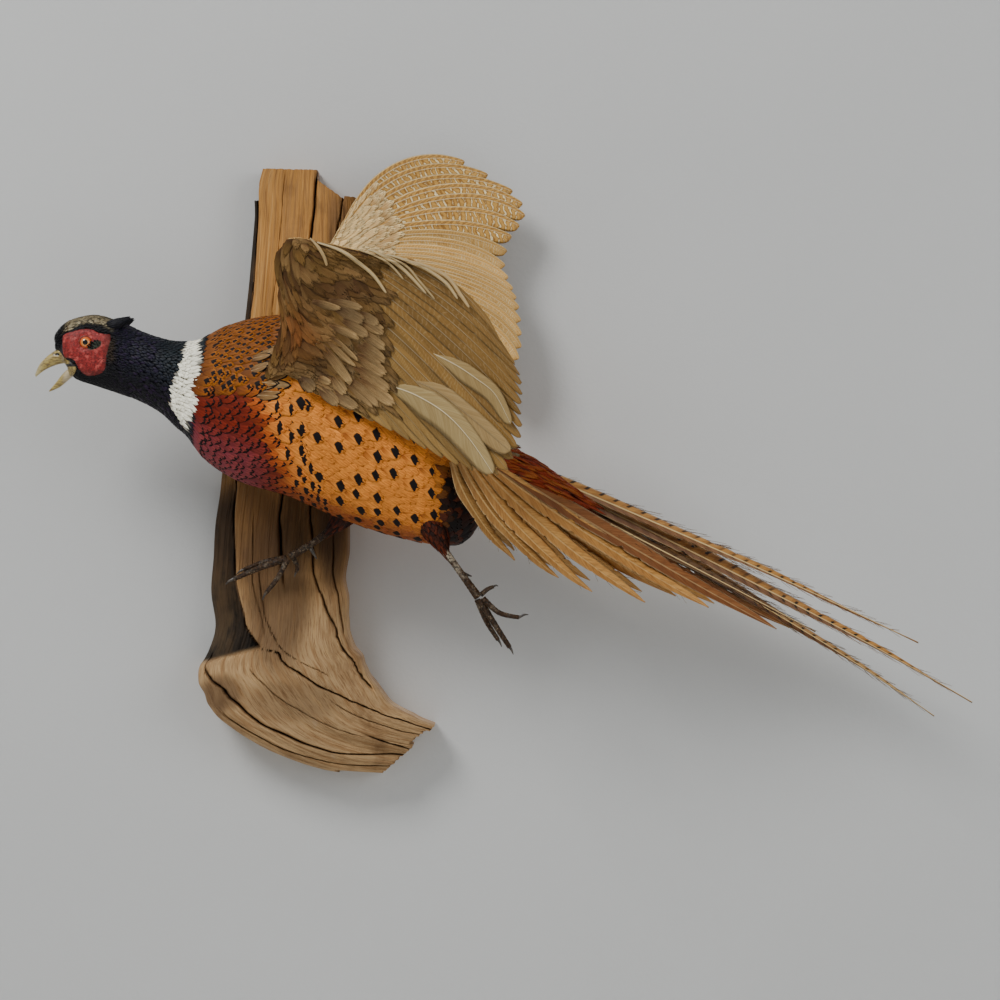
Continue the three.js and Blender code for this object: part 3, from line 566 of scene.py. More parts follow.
class Graph:
    """Short words for wiring shader nodes."""

    def __init__(self, tree):
        self.tree = tree

    def put(self, kind, inputs=(), **settings):
        node = self.tree.nodes.new(kind)
        for key, value in settings.items():
            setattr(node, key, value)
        for key, value in dict(inputs).items():
            self.feed(node.inputs[key], value)
        return node

    def term(self, kind, output, inputs=(), **settings):
        node = self.put("ShaderNode" + kind, inputs, **settings)
        return Term(self, node.outputs[output])

    def feed(self, socket, value):
        if isinstance(value, Term):
            self.tree.links.new(value.socket, socket)
        elif socket.type == "RGBA":
            socket.default_value = (*value[:3], 1)
        else:
            socket.default_value = value

    def maths(self, operation, *values):
        return self.term("Math", 0, enumerate(values), operation=operation)

    def ease(self, value, low, high, start=0.0, stop=1.0):
        ends = {"Value": value, "From Min": low, "From Max": high, "To Min": start,
                "To Max": stop}
        return self.term("MapRange", 0, ends, interpolation_type="SMOOTHSTEP")

    def mix(self, share, first, second, kind="MIX"):
        return self.term("Mix", 2, {0: share, 6: first, 7: second}, data_type="RGBA",
                         blend_type=kind)

    def cover(self, colour, *layers):
        """Lays colours over one: each with a mask, where it starts and ends, a share."""
        for mask, low, high, share, other in layers:
            colour = self.mix(self.ease(mask, low, high, 0.0, share), colour, other)
        return colour

    def tinted(self, colour, other):
        return self.mix(1.0, colour, other, "MULTIPLY")

    def levelled(self, colour, level):
        return self.tinted(colour, self.join(level, level, level))

    def noise(self, place, scale, detail=3.0, roughness=0.55, distortion=0.0):
        return self.term("TexNoise", "Fac", {
            "Vector": place, "Scale": scale, "Detail": detail, "Roughness": roughness,
            "Distortion": distortion})

    def cells(self, place, scale):
        return self.term("TexVoronoi", "Distance", {"Vector": place, "Scale": scale})

    def stretch(self, place, scale):
        return self.term("Mapping", 0, {"Vector": place, "Scale": scale})

    def map(self, name):
        return self.term("UVMap", 0, uv_map=name)

    def value(self, name, output="Vector"):
        return self.term("Attribute", output, attribute_name=name)

    def split(self, vector):
        node = self.put("ShaderNodeSeparateXYZ", {"Vector": vector})
        return [Term(self, output) for output in node.outputs]

    def join(self, *parts):
        return self.term("CombineXYZ", 0, enumerate(parts))

    def place(self):
        return self.term("TexCoord", "Object")

    def oval(self, x, z, wide, high):
        """Square of the distance from a place in x and z, 1 at an oval's edge."""
        parts = self.split(self.place())
        across, up = (parts[0] - x) / wide, (parts[2] - z) / high
        return across * across + up * up

    def group(self, tree, *values):
        node = self.put("ShaderNodeGroup", enumerate(values), node_tree=tree)
        return [Term(self, output) for output in node.outputs]

    def aged(self, colour, scale, dust):
        return self.group(age_group(), self.place(), colour, scale, dust)[0]

    def paint(self, colour, height=None, strength=0.0, distance=0.0):
        """Feeds the colour and the relief to the shader; gives the material."""
        self.feed(self.sockets["Base Color"], colour)
        if height:
            bump = {"Height": height, "Strength": strength, "Distance": distance}
            self.feed(self.sockets["Normal"], self.term("Bump", 0, bump))
        return self.material


def node_group(name, inputs, outputs, build):
    """A shader group made once: its sockets, then what build wires inside it."""
    if name in bpy.data.node_groups:
        return bpy.data.node_groups[name]
    tree = bpy.data.node_groups.new(name, "ShaderNodeTree")
    for items, side in ((inputs, "INPUT"), (outputs, "OUTPUT")):
        for item in items.split():
            key, _, kind = item.partition(":")
            tree.interface.new_socket(key, in_out=side,
                                      socket_type="NodeSocket" + (kind or "Float"))
    g = Graph(tree)
    start, stop = g.put("NodeGroupInput"), g.put("NodeGroupOutput")
    terms = [Term(g, output) for output in start.outputs if output.name]
    for socket, value in zip(stop.inputs, build(g, *terms)):
        g.feed(socket, value)
    return tree


def barbs_group():
    """Fine barbs that slant from a feather's shaft to its edge."""
    def build(g, vane, count, slant, chance):
        side, along, _ = g.split(vane)
        across = abs(side * 2.0 - 1.0)
        lines = g.join((along - across * slant) * count, side * 3.0, chance)
        fine = g.noise(lines, 1.0, 2.0)
        tone = (fine + g.noise(lines, 0.22, 2.0)) * 0.62 + 0.40
        return across, along, fine, tone
    return node_group("Barbs", "Vane:Vector Count Slant Chance", "Across Along Height Tone",
                      build)


def bars_group():
    """Irregular chevron bars across a feather."""
    def build(g, across, along, chance, bars, sweep, wander, width):
        bend = g.noise(g.join(along * 9.0, across, chance), 1.3, 2.0) * wander
        wave = abs(g.maths("FRACT", along * bars - across * sweep + bend) - 0.5)
        low = 0.5 - width
        return (g.ease(wave, low, low + 0.08),)
    return node_group("Chevron bars", "Across Along Chance Bars Sweep Wander Width", "Mask",
                      build)


def age_group():
    """Slow changes of tone and a film of dust over a surface."""
    def build(g, place, colour, scale, dust):
        slow = g.noise(place, scale, 3.0)
        toned = g.levelled(colour, g.ease(slow, 0.3, 0.7, 0.86, 1.1))
        return (g.mix(g.ease(slow, 0.5, 0.8) * dust, toned, (0.36, 0.33, 0.28)),)
    return node_group("Age", "Place:Vector Color:Color Scale Dust", "Color:Color", build)


def new_material(name, **settings):
    """A graph with one Principled shader, whose constant sockets are set."""
    material = bpy.data.materials.new(name)
    material.use_nodes = True
    material.node_tree.nodes.clear()
    g = Graph(material.node_tree)
    shader = g.put("ShaderNodeBsdfPrincipled")
    output = g.put("ShaderNodeOutputMaterial", {"Surface": Term(g, shader.outputs[0])})
    g.material, g.sockets, g.surface = material, shader.inputs, output.inputs["Surface"]
    for key, value in settings.items():
        g.feed(g.sockets[key.replace("_", " ")], value)
    return g


def feather_parts(g, count, slant):
    """What every feather material starts from."""
    chance = g.value("Chance", "Fac")
    barbs = g.group(barbs_group(), g.map("Vane"), count, slant, chance)
    return (chance, *barbs, g.split(g.value("Mark")), g.value("Tint"))


def coat_material(name, ink, barbs=34.0, root=(0.5, 0.4, 0.35), gaps=(0.55, 0.43, 0.32),
                  **settings):
    """Small body feathers: base, tip, dark rim, dark diamond and pale shaft."""
    g = new_material(name, **settings)
    chance, across, along, height, tone, mark, tint = feather_parts(g, barbs, 0.9)
    colour = g.cover(g.tinted(tint, root), (along, 0.2, 0.6, 1, tint),
                     (along, 0.6, 0.95, 1, g.value("Tip")))
    far = along * 2.0 - 1.0
    reach = g.maths("SQRT", across * across + far * far)
    rim = g.ease(reach, 1.0 - mark[1], 1.02 - mark[1] * 0.6) * g.ease(along, 0.5, 0.62)
    rim = rim * g.maths("GREATER_THAN", mark[1], 0.01)
    size = abs(mark[0]) | 0.001
    slim = g.ease(mark[0], -0.1, 0.0, 0.09, 0.25)
    centre = g.ease(size, 0.72, 0.86) * -0.06 + 0.84
    away = abs(along - centre) / (size * slim) + across / size + (height * 0.16 - 0.08)
    colour = g.mix(g.ease(across, 0.11, 0.05) * mark[2], colour, (0.75, 0.55, 0.3))
    colour = g.tinted(colour, g.mix(g.ease(tone, 0.84, 1.18), gaps, (1.14, 1.16, 1.2)))
    colour = g.levelled(colour, chance * 0.3 + 0.85)
    colour = g.mix(rim | g.ease(away, 1.05, 0.85), colour, ink)
    return g.paint(colour, height, 0.25, 0.0003)


def flight_material(name, colours, front_is_upper):
    """Wing feathers: barred above, plain and pale below, with a cream shaft."""
    g = new_material(name, Roughness=0.62, Specular_IOR_Level=0.25)
    chance, across, along, height, tone, mark, tint = feather_parts(g, 190.0, 0.16)
    side = g.split(g.map("Vane"))[0]

    def bars(width):
        return g.group(bars_group(), across, along, chance, mark[0], 0.9, 2.2, width)[0]
    broken = g.ease(g.noise(g.join(along * 60.0, side * 5.0, chance), 1.0), 0.38, 0.55)
    strength = mark[1] * broken * g.ease(along, 1.0, 0.9) * g.ease(side, 0.42, 0.56, 0.1)
    chevrons = bars(0.19) * strength
    dark = g.tinted(tint, (0.5, 0.4, 0.3))
    upper = g.mix(bars(0.32) * (mark[1] * 0.8), tint, dark)
    upper = g.mix(chevrons, upper, colours.cream)
    upper = g.mix(g.ease(side, 0.16, 0.06, 0.0, 0.55), upper, colours.cream)
    lower = g.cover(g.mix(chevrons * 0.08, g.value("Tip"), colours.cream),
                    (across, 0.72, 1.0, 0.3, (0.40, 0.30, 0.16)),
                    (across, 0.1, 0.03, 0.35, (0.06, 0.04, 0.02)))
    back = g.value("Under", "Fac")
    share = back if front_is_upper else 1.0 - back
    colour = g.mix(share, upper, lower)
    shade = g.mix(g.ease(tone, 0.86, 1.18), (0.84, 0.78, 0.70), (1.1, 1.1, 1.1))
    colour = g.levelled(g.tinted(colour, shade), chance * 0.24 + 0.88)
    shaft = g.ease(across, 0.035, 0.018) * mark[2] * (share * -0.5 + 0.7)
    return g.paint(g.mix(shaft, colour, (0.86, 0.72, 0.45)), height, 0.3, 0.0004)


def tail_material(name, colours):
    """Long tail feathers: tan with black ticks and frayed darker edges."""
    g = new_material(name, Roughness=0.58, Specular_IOR_Level=0.25)
    chance, across, along, height, tone, mark, tint = feather_parts(g, 330.0, 0.07)
    side = g.split(g.map("Vane"))[0]

    def bars(wander, width):
        return g.group(bars_group(), across, along, chance, mark[0], 0.45, wander, width)[0]
    inner = g.ease(along, 0.35, 0.6)
    edge = g.ease(side, 0.34, 0.26) * (1.0 - inner)
    ticks = bars(0.25, 0.15) * ((edge | (g.ease(across, 0.7, 0.45) * inner)) * mark[1])
    colour = g.mix(g.ease(side, 0.42, 0.58), tint, g.value("Tip"))
    dark = g.tinted(colour, (0.4, 0.3, 0.25))
    colour = g.mix(bars(0.5, 0.3) * (mark[1] * 0.35), colour, dark)
    streak = g.ease(height, 0.55, 0.8, 0.0, 0.3) * g.ease(across, 0.35, 0.9)
    colour = g.mix(streak, colour, dark)
    colour = g.mix(g.ease(across, 0.8, 1.0, 0.0, 0.35), colour, colours.cream)
    shade = g.mix(g.ease(tone, 0.86, 1.18), (0.74, 0.62, 0.5), (1.1, 1.1, 1.08))
    colour = g.mix(ticks, g.tinted(colour, shade), colours.ink)
    colour = g.levelled(colour, chance * 0.2 + 0.9)
    shaft = g.mix(0.6, colours.cream, colours.sand)
    colour = g.mix(g.ease(across, 0.05, 0.03) * mark[2], colour, shaft)
    return g.paint(colour, height, 0.3, 0.0004)


# ---------------------------------------------------------------------- skin
class Piece:
    """What every operator of this file shares."""

    bl_options = {"REGISTER", "UNDO"}


def settings():
    scene = bpy.context.scene
    return scene.pheasant_sizes, scene.pheasant_colours


def read_points(mesh, key="co"):
    values = np.empty(len(mesh.vertices) * 3)
    mesh.vertices.foreach_get(key, values)
    return values.reshape(-1, 3)


def in_edit_mode(*steps):
    """Runs steps on the whole of the active mesh, in edit mode."""
    bpy.ops.object.mode_set(mode="EDIT")
    bpy.ops.mesh.select_all(action="SELECT")
    for step in steps:
        step()
    bpy.ops.object.mode_set(mode="OBJECT")


def turn_outward():
    bpy.ops.mesh.normals_make_consistent(inside=False)


class PHEASANT_OT_skin(Piece, bpy.types.Operator):
    """One skin under head, neck, body, thighs and wing arms"""

    bl_idname = "pheasant.skin"
    bl_label = "Skin"

    def execute(self, context):
        sizes, _ = settings()
        copies = []
        for name in FLESH:
            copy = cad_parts[name].copy()
            copy.data = copy.data.copy()
            copy.parent = None
            copy.matrix_world.identity()
            context.scene.collection.objects.link(copy)
            copies.append(copy)
        make_active(*copies)
        bpy.ops.object.join()
        skin = context.active_object
        skin.name = skin.data.name = "skin"
        in_edit_mode(lambda: bpy.ops.mesh.remove_doubles(threshold=0.00001))
        remesh = skin.modifiers.new("Remesh", "REMESH")
        remesh.mode = "VOXEL"
        remesh.voxel_size = sizes.voxel
        remesh.use_smooth_shade = True
        relax = skin.modifiers.new("Relax", "SMOOTH")
        relax.factor = 0.5
        relax.iterations = 6
        for modifier in ("Remesh", "Relax"):
            bpy.ops.object.modifier_apply(modifier=modifier)
        points = read_points(skin.data)
        depth = lerp(0.0008, sizes.coat, ease(points[:, 0], -0.14, -0.05))
        points -= read_points(skin.data, "normal") * depth[:, None]
        skin.data.vertices.foreach_set("co", points.ravel())
        skin.data.update()
        g = new_material("Skin", Roughness=0.8)
        x = g.split(g.place())[0]
        colour = g.cover((0.012, 0.012, 0.018), (x, -0.095, -0.088, 1, (0.55, 0.5, 0.42)),
                         (x, -0.074, -0.066, 1, (0.10, 0.035, 0.015)))
        material = g.paint(g.aged(colour, 60.0, 0.1), g.noise(g.place(), 900.0), 0.4, 0.0005)
        finish(skin, material, "body_feathers", *FLESH)
        return {"FINISHED"}


# ---------------------------------------------------------------------- coat
def coat_roots(first, last, gap_along, gap_across, seed, surface=body_surface, growth=1.0):
    """Roots of feathers in staggered rows, farther apart as they go: s, a, row, column."""
    rng = np.random.default_rng(seed)
    fine = np.linspace(first, last, 400)
    line = surface(fine, np.full(400, -np.pi / 2))
    run = distances(line)
    rows = max(int(run[-1] / (gap_along * (1 + growth) / 2)), 1)
    share = np.linspace(0, 1, rows + 1)
    share += (growth - 1) / (growth + 1) * (share ** 2 - share)
    out = []
    for row, s in enumerate(np.interp(share * run[-1], run, fine)):
        ring = surface(np.full(65, s), np.linspace(0, 2 * np.pi, 65))
        girth = np.linalg.norm(np.diff(ring, axis=0), axis=1).sum()
        count = max(int(girth / (gap_across * lerp(1, growth, share[row]))), 3)
        column = np.arange(count)
        a = (column + 0.5 * (row % 2)) / count * 2 * np.pi
        a = a + rng.normal(0, 0.12, count) * 2 * np.pi / count
        out.append(np.stack((np.full(count, s), a, np.full(count, row), column), 1))
    s, a, row, column = np.concatenate(out).T
    step = (last - first) / rows
    s = s + rng.normal(0, 0.12, len(s)) * step
    return np.clip(s, first, last + step), a, row, column, rng


def inside(x, z, outline):
    """Whether places lie inside a closed outline."""
    hit = np.zeros(np.shape(x), bool)
    for (x1, z1), (x2, z2) in zip(outline, np.roll(outline, -1, axis=0)):
        crossing = (z1 > z) != (z2 > z)
        with np.errstate(divide="ignore", invalid="ignore"):
            where = x1 + (z - z1) / (z2 - z1) * (x2 - x1)
        hit ^= crossing & (x < where)
    return hit


# Front and back edge of the white collar, x at each z, in mm.
COLLAR_Z = np.array((-154, -147, -143, -135, -126, -109, -95, -79))
COLLAR_FRONT = np.array((-80, -83, -86, -90, -89.5, -84, -79, -77.5))
COLLAR_BACK = np.array((-77, -74, -72, -66.5, -65.5, -65, -66, -67))


def head_plumage(colours, x, z, rise, chance):
    """Tint of the feathers of head, neck and collar, and how white, places in mm."""
    brow = z + 62.5 + ((x + 160.5) / 17.5) ** 2 * 5.6
    streak = ease(chance, 0.1, 0.7)
    crown = blend_colours(colours.crown,
                          ((0.36, 0.30, 0.17), ease(chance, 0.6, 0.95) * 0.8),
                          ((0.03, 0.028, 0.018), ease(chance, 0.35, 0.1) * 0.7))
    pale = np.exp(-(brow / 2.0) ** 2) * streak
    crown = blend_colours(crown, ((0.50, 0.44, 0.29), pale * 0.75))
    over = ease(brow, -2.6, -1.2) * ease(x, -185, -178) * (1 - ease(x, -148, -138))
    over = over * (1 - ease(rise, 0.95, 1.0) * 0.4)
    bronze = ease(np.abs(x + 141), 5, 1) * ease(np.abs(z + 88), 14, 6)
    tint = blend_colours(
        (0.0035, 0.0035, 0.005),
        (colours.navy, ease(rise, -0.8, 0.1) * ease(x, -146, -128) * lerp(0.4, 1, chance)),
        ((0.022, 0.005, 0.034), ease(x, -150, -125) * ease(chance, 0.6, 0.9) * 0.5),
        (colours.teal, ease(x, -108, -92) * ease(rise, -0.5, 0.3) * lerp(0.4, 1, chance)),
        ((0.045, 0.027, 0.008), bronze * 0.6))
    tint = blend_colours(tint, (crown, over))
    front = np.interp(z, COLLAR_Z, COLLAR_FRONT)
    back = np.interp(z, COLLAR_Z, COLLAR_BACK)
    white = ease(x, front - 0.6, front + 0.6) * (1 - ease(x, back + 0.4, back + 2.4))
    white = white * ease(z + (chance - 0.5) * 3, -156, -154.5)
    return blend_colours(tint, (colours.white, white)), white


def body_plumage(colours, x, z, rise, chance, chosen, thin):
    """Tint, tip and marks of the feathers of mantle, breast, flank and rump."""
    gold, amber, mantle = (np.array(k) for k in (colours.gold, colours.amber,
                                                 colours.mantle))
    spread = ease(0.95 * x + 0.35 * (z + 150) + (chance - 0.5) * 8, -26, 24)
    low = ease(-rise, 0.3, 0.8)
    upper = ease(z + (chance - 0.5) * 6, -128, -118) * (1 - ease(x, 4, 16))
    upper = upper * ease(rise, -0.5, -0.1)
    tint = blend_colours(
        colours.maroon, (colours.purple, low * (1 - ease(x, -25, 5)) * 0.85), (amber * (0.85, 0.6, 0.6), ease(spread, 0.0, 0.45)),
        (gold * (0.95, 0.85, 0.9), ease(spread, 0.35, 0.7)), (gold, ease(spread, 0.7, 1)))
    tip = blend_colours(tint * (1.6, 1.7, 1.3), (tint * 1.1, ease(spread, 0.3, 0.8)))
    belly = ease(-rise, 0.74, 0.95) * ease(x, -20, 30) * lerp(0.6, 1, chance)
    dark = np.array((0.20, 0.045, 0.012))
    back = ease(rise, 0.5, 0.75) * ease(x, -2, 14)
    rump = ease(rise, 0.15, 0.5) * ease(x, 96, 128)
    grey = lerp(np.array((0.19, 0.17, 0.09)), np.array(colours.rust),
                ease(chance, 0.3, 0.75)[:, None])
    vent = ease(x + (chance - 0.5) * 14, 134, 148) * ease(-rise, -0.35, 0.1)
    shade = lerp(np.array((0.006, 0.002, 0.001)), np.array((0.075, 0.016, 0.004)),
                 ease(chance, 0.6, 1)[:, None])
    for share, inner, outer in (
            (belly, dark, dark * 1.6), (upper, mantle * 0.62, mantle * (1.35, 1.45, 1.6)),
            (back, (0.16, 0.05, 0.018), (0.5, 0.36, 0.18)), (rump, grey, grey * 1.1),
            (vent, shade, shade * 1.3)):
        tint, tip = blend_colours(tint, (inner, share)), blend_colours(tip, (outer, share))
    free = (1 - vent) * (1 - rump)
    plain = (1 - upper) * (1 - back)
    diamond = np.where(chosen, 0.94, 0) * ease(spread, 0.7, 0.95) * plain
    stem = thin & (spread > 0.42) & (spread < 0.98) & (plain > 0.6)
    scale = ease(spread, 1.0, 0.6) * plain * ~stem
    diamond = np.where(stem, -1.25, np.where(diamond > 0.7, diamond, upper * 0.62))
    mark = np.stack((diamond * free, scale * 0.11 * free + back * 0.16 * free,
                     back * 0.3), 1)
    return tint, tip, mark


def mid_places(s, a, length):
    """Where feathers mostly show: x and z in mm, and how near the back they are."""
    along = rates(body_surface, s, a)[1]
    at = body_surface(s + length * 0.7 / np.linalg.norm(along, axis=-1), a)
    return at[:, 0] / MM, at[:, 2] / MM, signed_power(np.cos(a))


def bake_roots(s, a):
    span = max(np.ptp(s), 1e-6)
    return np.stack(((s - s.min()) / span, (a / (2 * np.pi)) % 1), -1)


class PHEASANT_OT_coat(Piece, bpy.types.Operator):
    """Small feathers of head, neck, breast, flanks, rump and thighs"""

    bl_idname = "pheasant.coat"
    bl_label = "Body feathers"

    def execute(self, context):
        sizes, colours = settings()
        glossy = coat_material("Glossy feathers", colours.ink, barbs=16.0, Roughness=0.5,
                               Metallic=0.15, Specular_IOR_Level=0.3)
        matt = coat_material("Body feathers", colours.ink, barbs=26.0, Roughness=0.6,
                             Specular_IOR_Level=0.2)
        white = coat_material("Collar feathers", colours.ink, barbs=26.0, Roughness=0.7,
                              root=(1, 1, 1), gaps=(1, 1, 1), Specular_IOR_Level=0.2)
        self.head(sizes, colours, glossy)
        self.neck(sizes, colours, glossy, white)
        for plan in (
                ("breast_feathers", 8.75, 12.1, 0.0040, 0.0056, sizes.breast, 0.0105, 1.5, 21),
                ("flank_feathers", 11.75, 16.1, 0.0058, 0.0080, sizes.flank, 0.0155, 1.0, 22),
                ("rump_feathers", 15.7, 17.5, 0.0036, 0.0042, 0.017, 0.0056, 1.0, 23)):
            self.body(colours, matt, sizes.coat, *plan)
        self.thighs(colours, matt)
        return {"FINISHED"}

    def head(self, sizes, colours, material):
        s, a, _, _, rng = coat_roots(0.2, 5.3, 0.0017, 0.0018, 11)
        x, z, rise = mid_places(s, a, np.full(len(s), sizes.crown))
        bare = inside(x * MM, z * MM, FACE) | ((x < -177) & (z < -87))
        patch = ((x + 155.5) / 5.4) ** 2 + ((z + 83.5 - (x + 155.5) * 0.35) / 3.4) ** 2 < 1
        keep = (~bare | patch) & ~inside(x * MM, z * MM, GAPE)
        s, a, x, z, rise, patch = (v[keep] for v in (s, a, x, z, rise, patch))
        chance = rng.random(len(s))
        tint, _ = head_plumage(colours, x, z, rise, chance)
        small = np.where(x < -178, 0.7, 1) * np.where(patch, 0.7, 1)
        length = sizes.crown * rng.uniform(0.85, 1.15, len(s)) * small
        vane = Vane((0, 0.4, 0.78, 1), (-1, 0, 1), (0,))
        points = lay_vanes(vane, body_surface, s, a, length, length * 0.46,
                           rng.normal(0, 0.14, len(s)), 0.0009,
                           np.where(patch, 0.0016, 0.0003), 0.00022, chance)
        feathers("head_feathers", vane, points, bake_roots(s, a), tint, tint * 1.05, None,
                 chance, material, "head_feathers")

    def neck(self, sizes, colours, glossy, matt):
        s, a, _, _, rng = coat_roots(4.9, 8.95, 0.0024, 0.0027, 12)
        length = sizes.neck * rng.uniform(0.85, 1.15, len(s))
        x, z, rise = mid_places(s, a, length)
        chance = rng.random(len(s))
        tint, white = head_plumage(colours, x, z, rise, chance)
        vane = Vane((0, 0.35, 0.7, 1), NARROW, (0,), 0.12)
        points = lay_vanes(vane, body_surface, s, a, length, length * 0.42,
                           rng.normal(0, 0.1, len(s)), 0.0016, 0.0001 + 0.00012 * chance,
                           0.0002, chance, droop=0.05)
        for name, material, k in (("neck_feathers", glossy, white < 0.5),
                                  ("collar_feathers", matt, white >= 0.5)):
            feathers(name, vane, points[k], bake_roots(s[k], a[k]), tint[k], tint[k] * 1.05,
                     None, chance[k], material, name)

    def body(self, colours, material, coat, name, first, last, gap_along, gap_across,
             length, width, growth, seed):
        s, a, row, column, rng = coat_roots(first, last, gap_along, gap_across, seed,
                                            growth=growth)
        size = rng.uniform(0.9, 1.1, len(s)) * lerp(1, growth, (s - first) / (last - first))
        x, z, rise = mid_places(s, a, length * size)
        chance = rng.random(len(s))
        chosen = (row % 3 == 0) & ((column + row // 3) % 2 == 0) & (chance > 0.22)
        thin = (row % 2 == 0) & ((column + row // 2) % 2 == 0) & (chance > 0.1)
        tint, tip, mark = body_plumage(colours, x, z, rise, chance, chosen, thin)
        upper = ease(rise, 0.1, 0.5) * (1 - ease(x, 10, 40))
        marked = (np.abs(mark[:, 0]) > 0.3) & (upper < 0.5)
        wide = width * size * lerp(1, 0.62, upper) * np.where(marked, 1.15, 1)
        vane = Vane((0, 0.22, 0.45, 0.66, 0.84, 0.94, 1), WIDE, (0,), 0.09)
        lift = np.where(marked, 0.0007, 0.0001 + 0.00015 * chance)
        points = lay_vanes(vane, body_surface, s, a, length * size, wide,
                           rng.normal(0, 0.07, len(s)), np.where(marked, 0.0007, coat * 0.5),
                           lift, 0.00014, chance, droop=0.04)
        slot = "rump_feathers" if name == "rump_feathers" else "body_feathers"
        feathers(name, vane, points, bake_roots(s, a), tint, tip, mark, chance, material, slot)

    def thighs(self, colours, material):
        vane = Vane((0, 0.3, 0.6, 0.85, 1), NARROW, (0,), 0.06)
        for side, leg in LEGS.items():
            surface = limb_surface(leg["thigh"])
            s, a, _, _, rng = coat_roots(0.1, 1.75, 0.0028, 0.0030, 31, surface)
            chance = rng.random(len(s))
            tint = lerp(np.array((0.02, 0.006, 0.003)), np.array(colours.rust) * 0.5,
                        ease(chance, 0.3, 1)[:, None])
            length = rng.uniform(0.009, 0.014, len(s))
            points = lay_vanes(vane, surface, s, a, length, length * 0.3,
                               rng.normal(0, 0.22, len(s)), 0.0012,
                               0.0002 + 0.0006 * chance, 0.0002, chance, side=-1)
            feathers(f"thigh_feathers_{side}", vane, points, bake_roots(s, a), tint,
                     tint * 1.3, None, chance, material, "body_feathers")


# ---------------------------------------------------------------------- face
def on_head(tree, x, z):
    """Places and normals on the left of the head's surface, for x and z."""
    found = []
    for px, pz in zip(x.ravel(), z.ravel()):
        spot, normal, _, _ = tree.ray_cast((px, HEAD_Y - 0.08, pz), (0, 1, 0))
        if spot is None:
            spot, normal, _, _ = tree.find_nearest((px, HEAD_Y - 0.01, pz))
        found.append((spot, normal))
    found = np.array(found)
    return found[:, 0].reshape(*x.shape, 3), found[:, 1].reshape(*x.shape, 3)


def other_side(points):
    return points * (1, -1, 1) + (0, 2 * HEAD_Y, 0)


def ring_faces(rows, columns):
    """Quads of a grid that closes both ways."""
    i, j = np.meshgrid(np.arange(rows), np.arange(columns), indexing="ij")
    i2, j2 = (i + 1) % rows, (j + 1) % columns
    return np.stack((i * columns + j, i * columns + j2, i2 * columns + j2,
                     i2 * columns + j), -1).reshape(-1, 4)


def face_material(colours):
    g = new_material("Red face", Roughness=0.5, Specular_IOR_Level=0.3)
    place = g.place()
    x, _, z = g.split(place)
    grain, cells = g.noise(place, 520.0, 2.0), g.cells(place, 800.0)
    dots = g.ease(cells, 0.40, 0.22) * g.ease(g.noise(place, 300.0, 1.0), 0.42, 0.52)
    colour = g.cover(colours.face, (grain, 0.3, 0.7, 1, (0.15, 0.012, 0.011)),
                     (g.noise(place, 190.0), 0.5, 0.68, 0.7, (0.60, 0.11, 0.09)))
    # Painted shade along the red skin's back and lower edges.
    edge = g.ease(x, -0.150, -0.1435, 0.0, 0.75) | g.ease(z, -0.103, -0.110, 0.0, 0.6)
    colour = g.mix(edge, colour, (0.09, 0.008, 0.005))
    low = g.ease(z, -0.086, -0.093, 0.35, 1.0)
    colour = g.mix(dots * low, colour, (0.010, 0.003, 0.003))
    across = (x + 0.1555) / 0.0062
    up = (z + 0.0835 - across * 0.0021) / 0.0036
    away = across * across + up * up + (grain - 0.5)
    colour = g.mix(g.ease(away, 1.25, 0.7), colour, (0.022, 0.028, 0.014))
    return g.paint(colour, grain + cells * 0.6, 0.55, 0.0006)


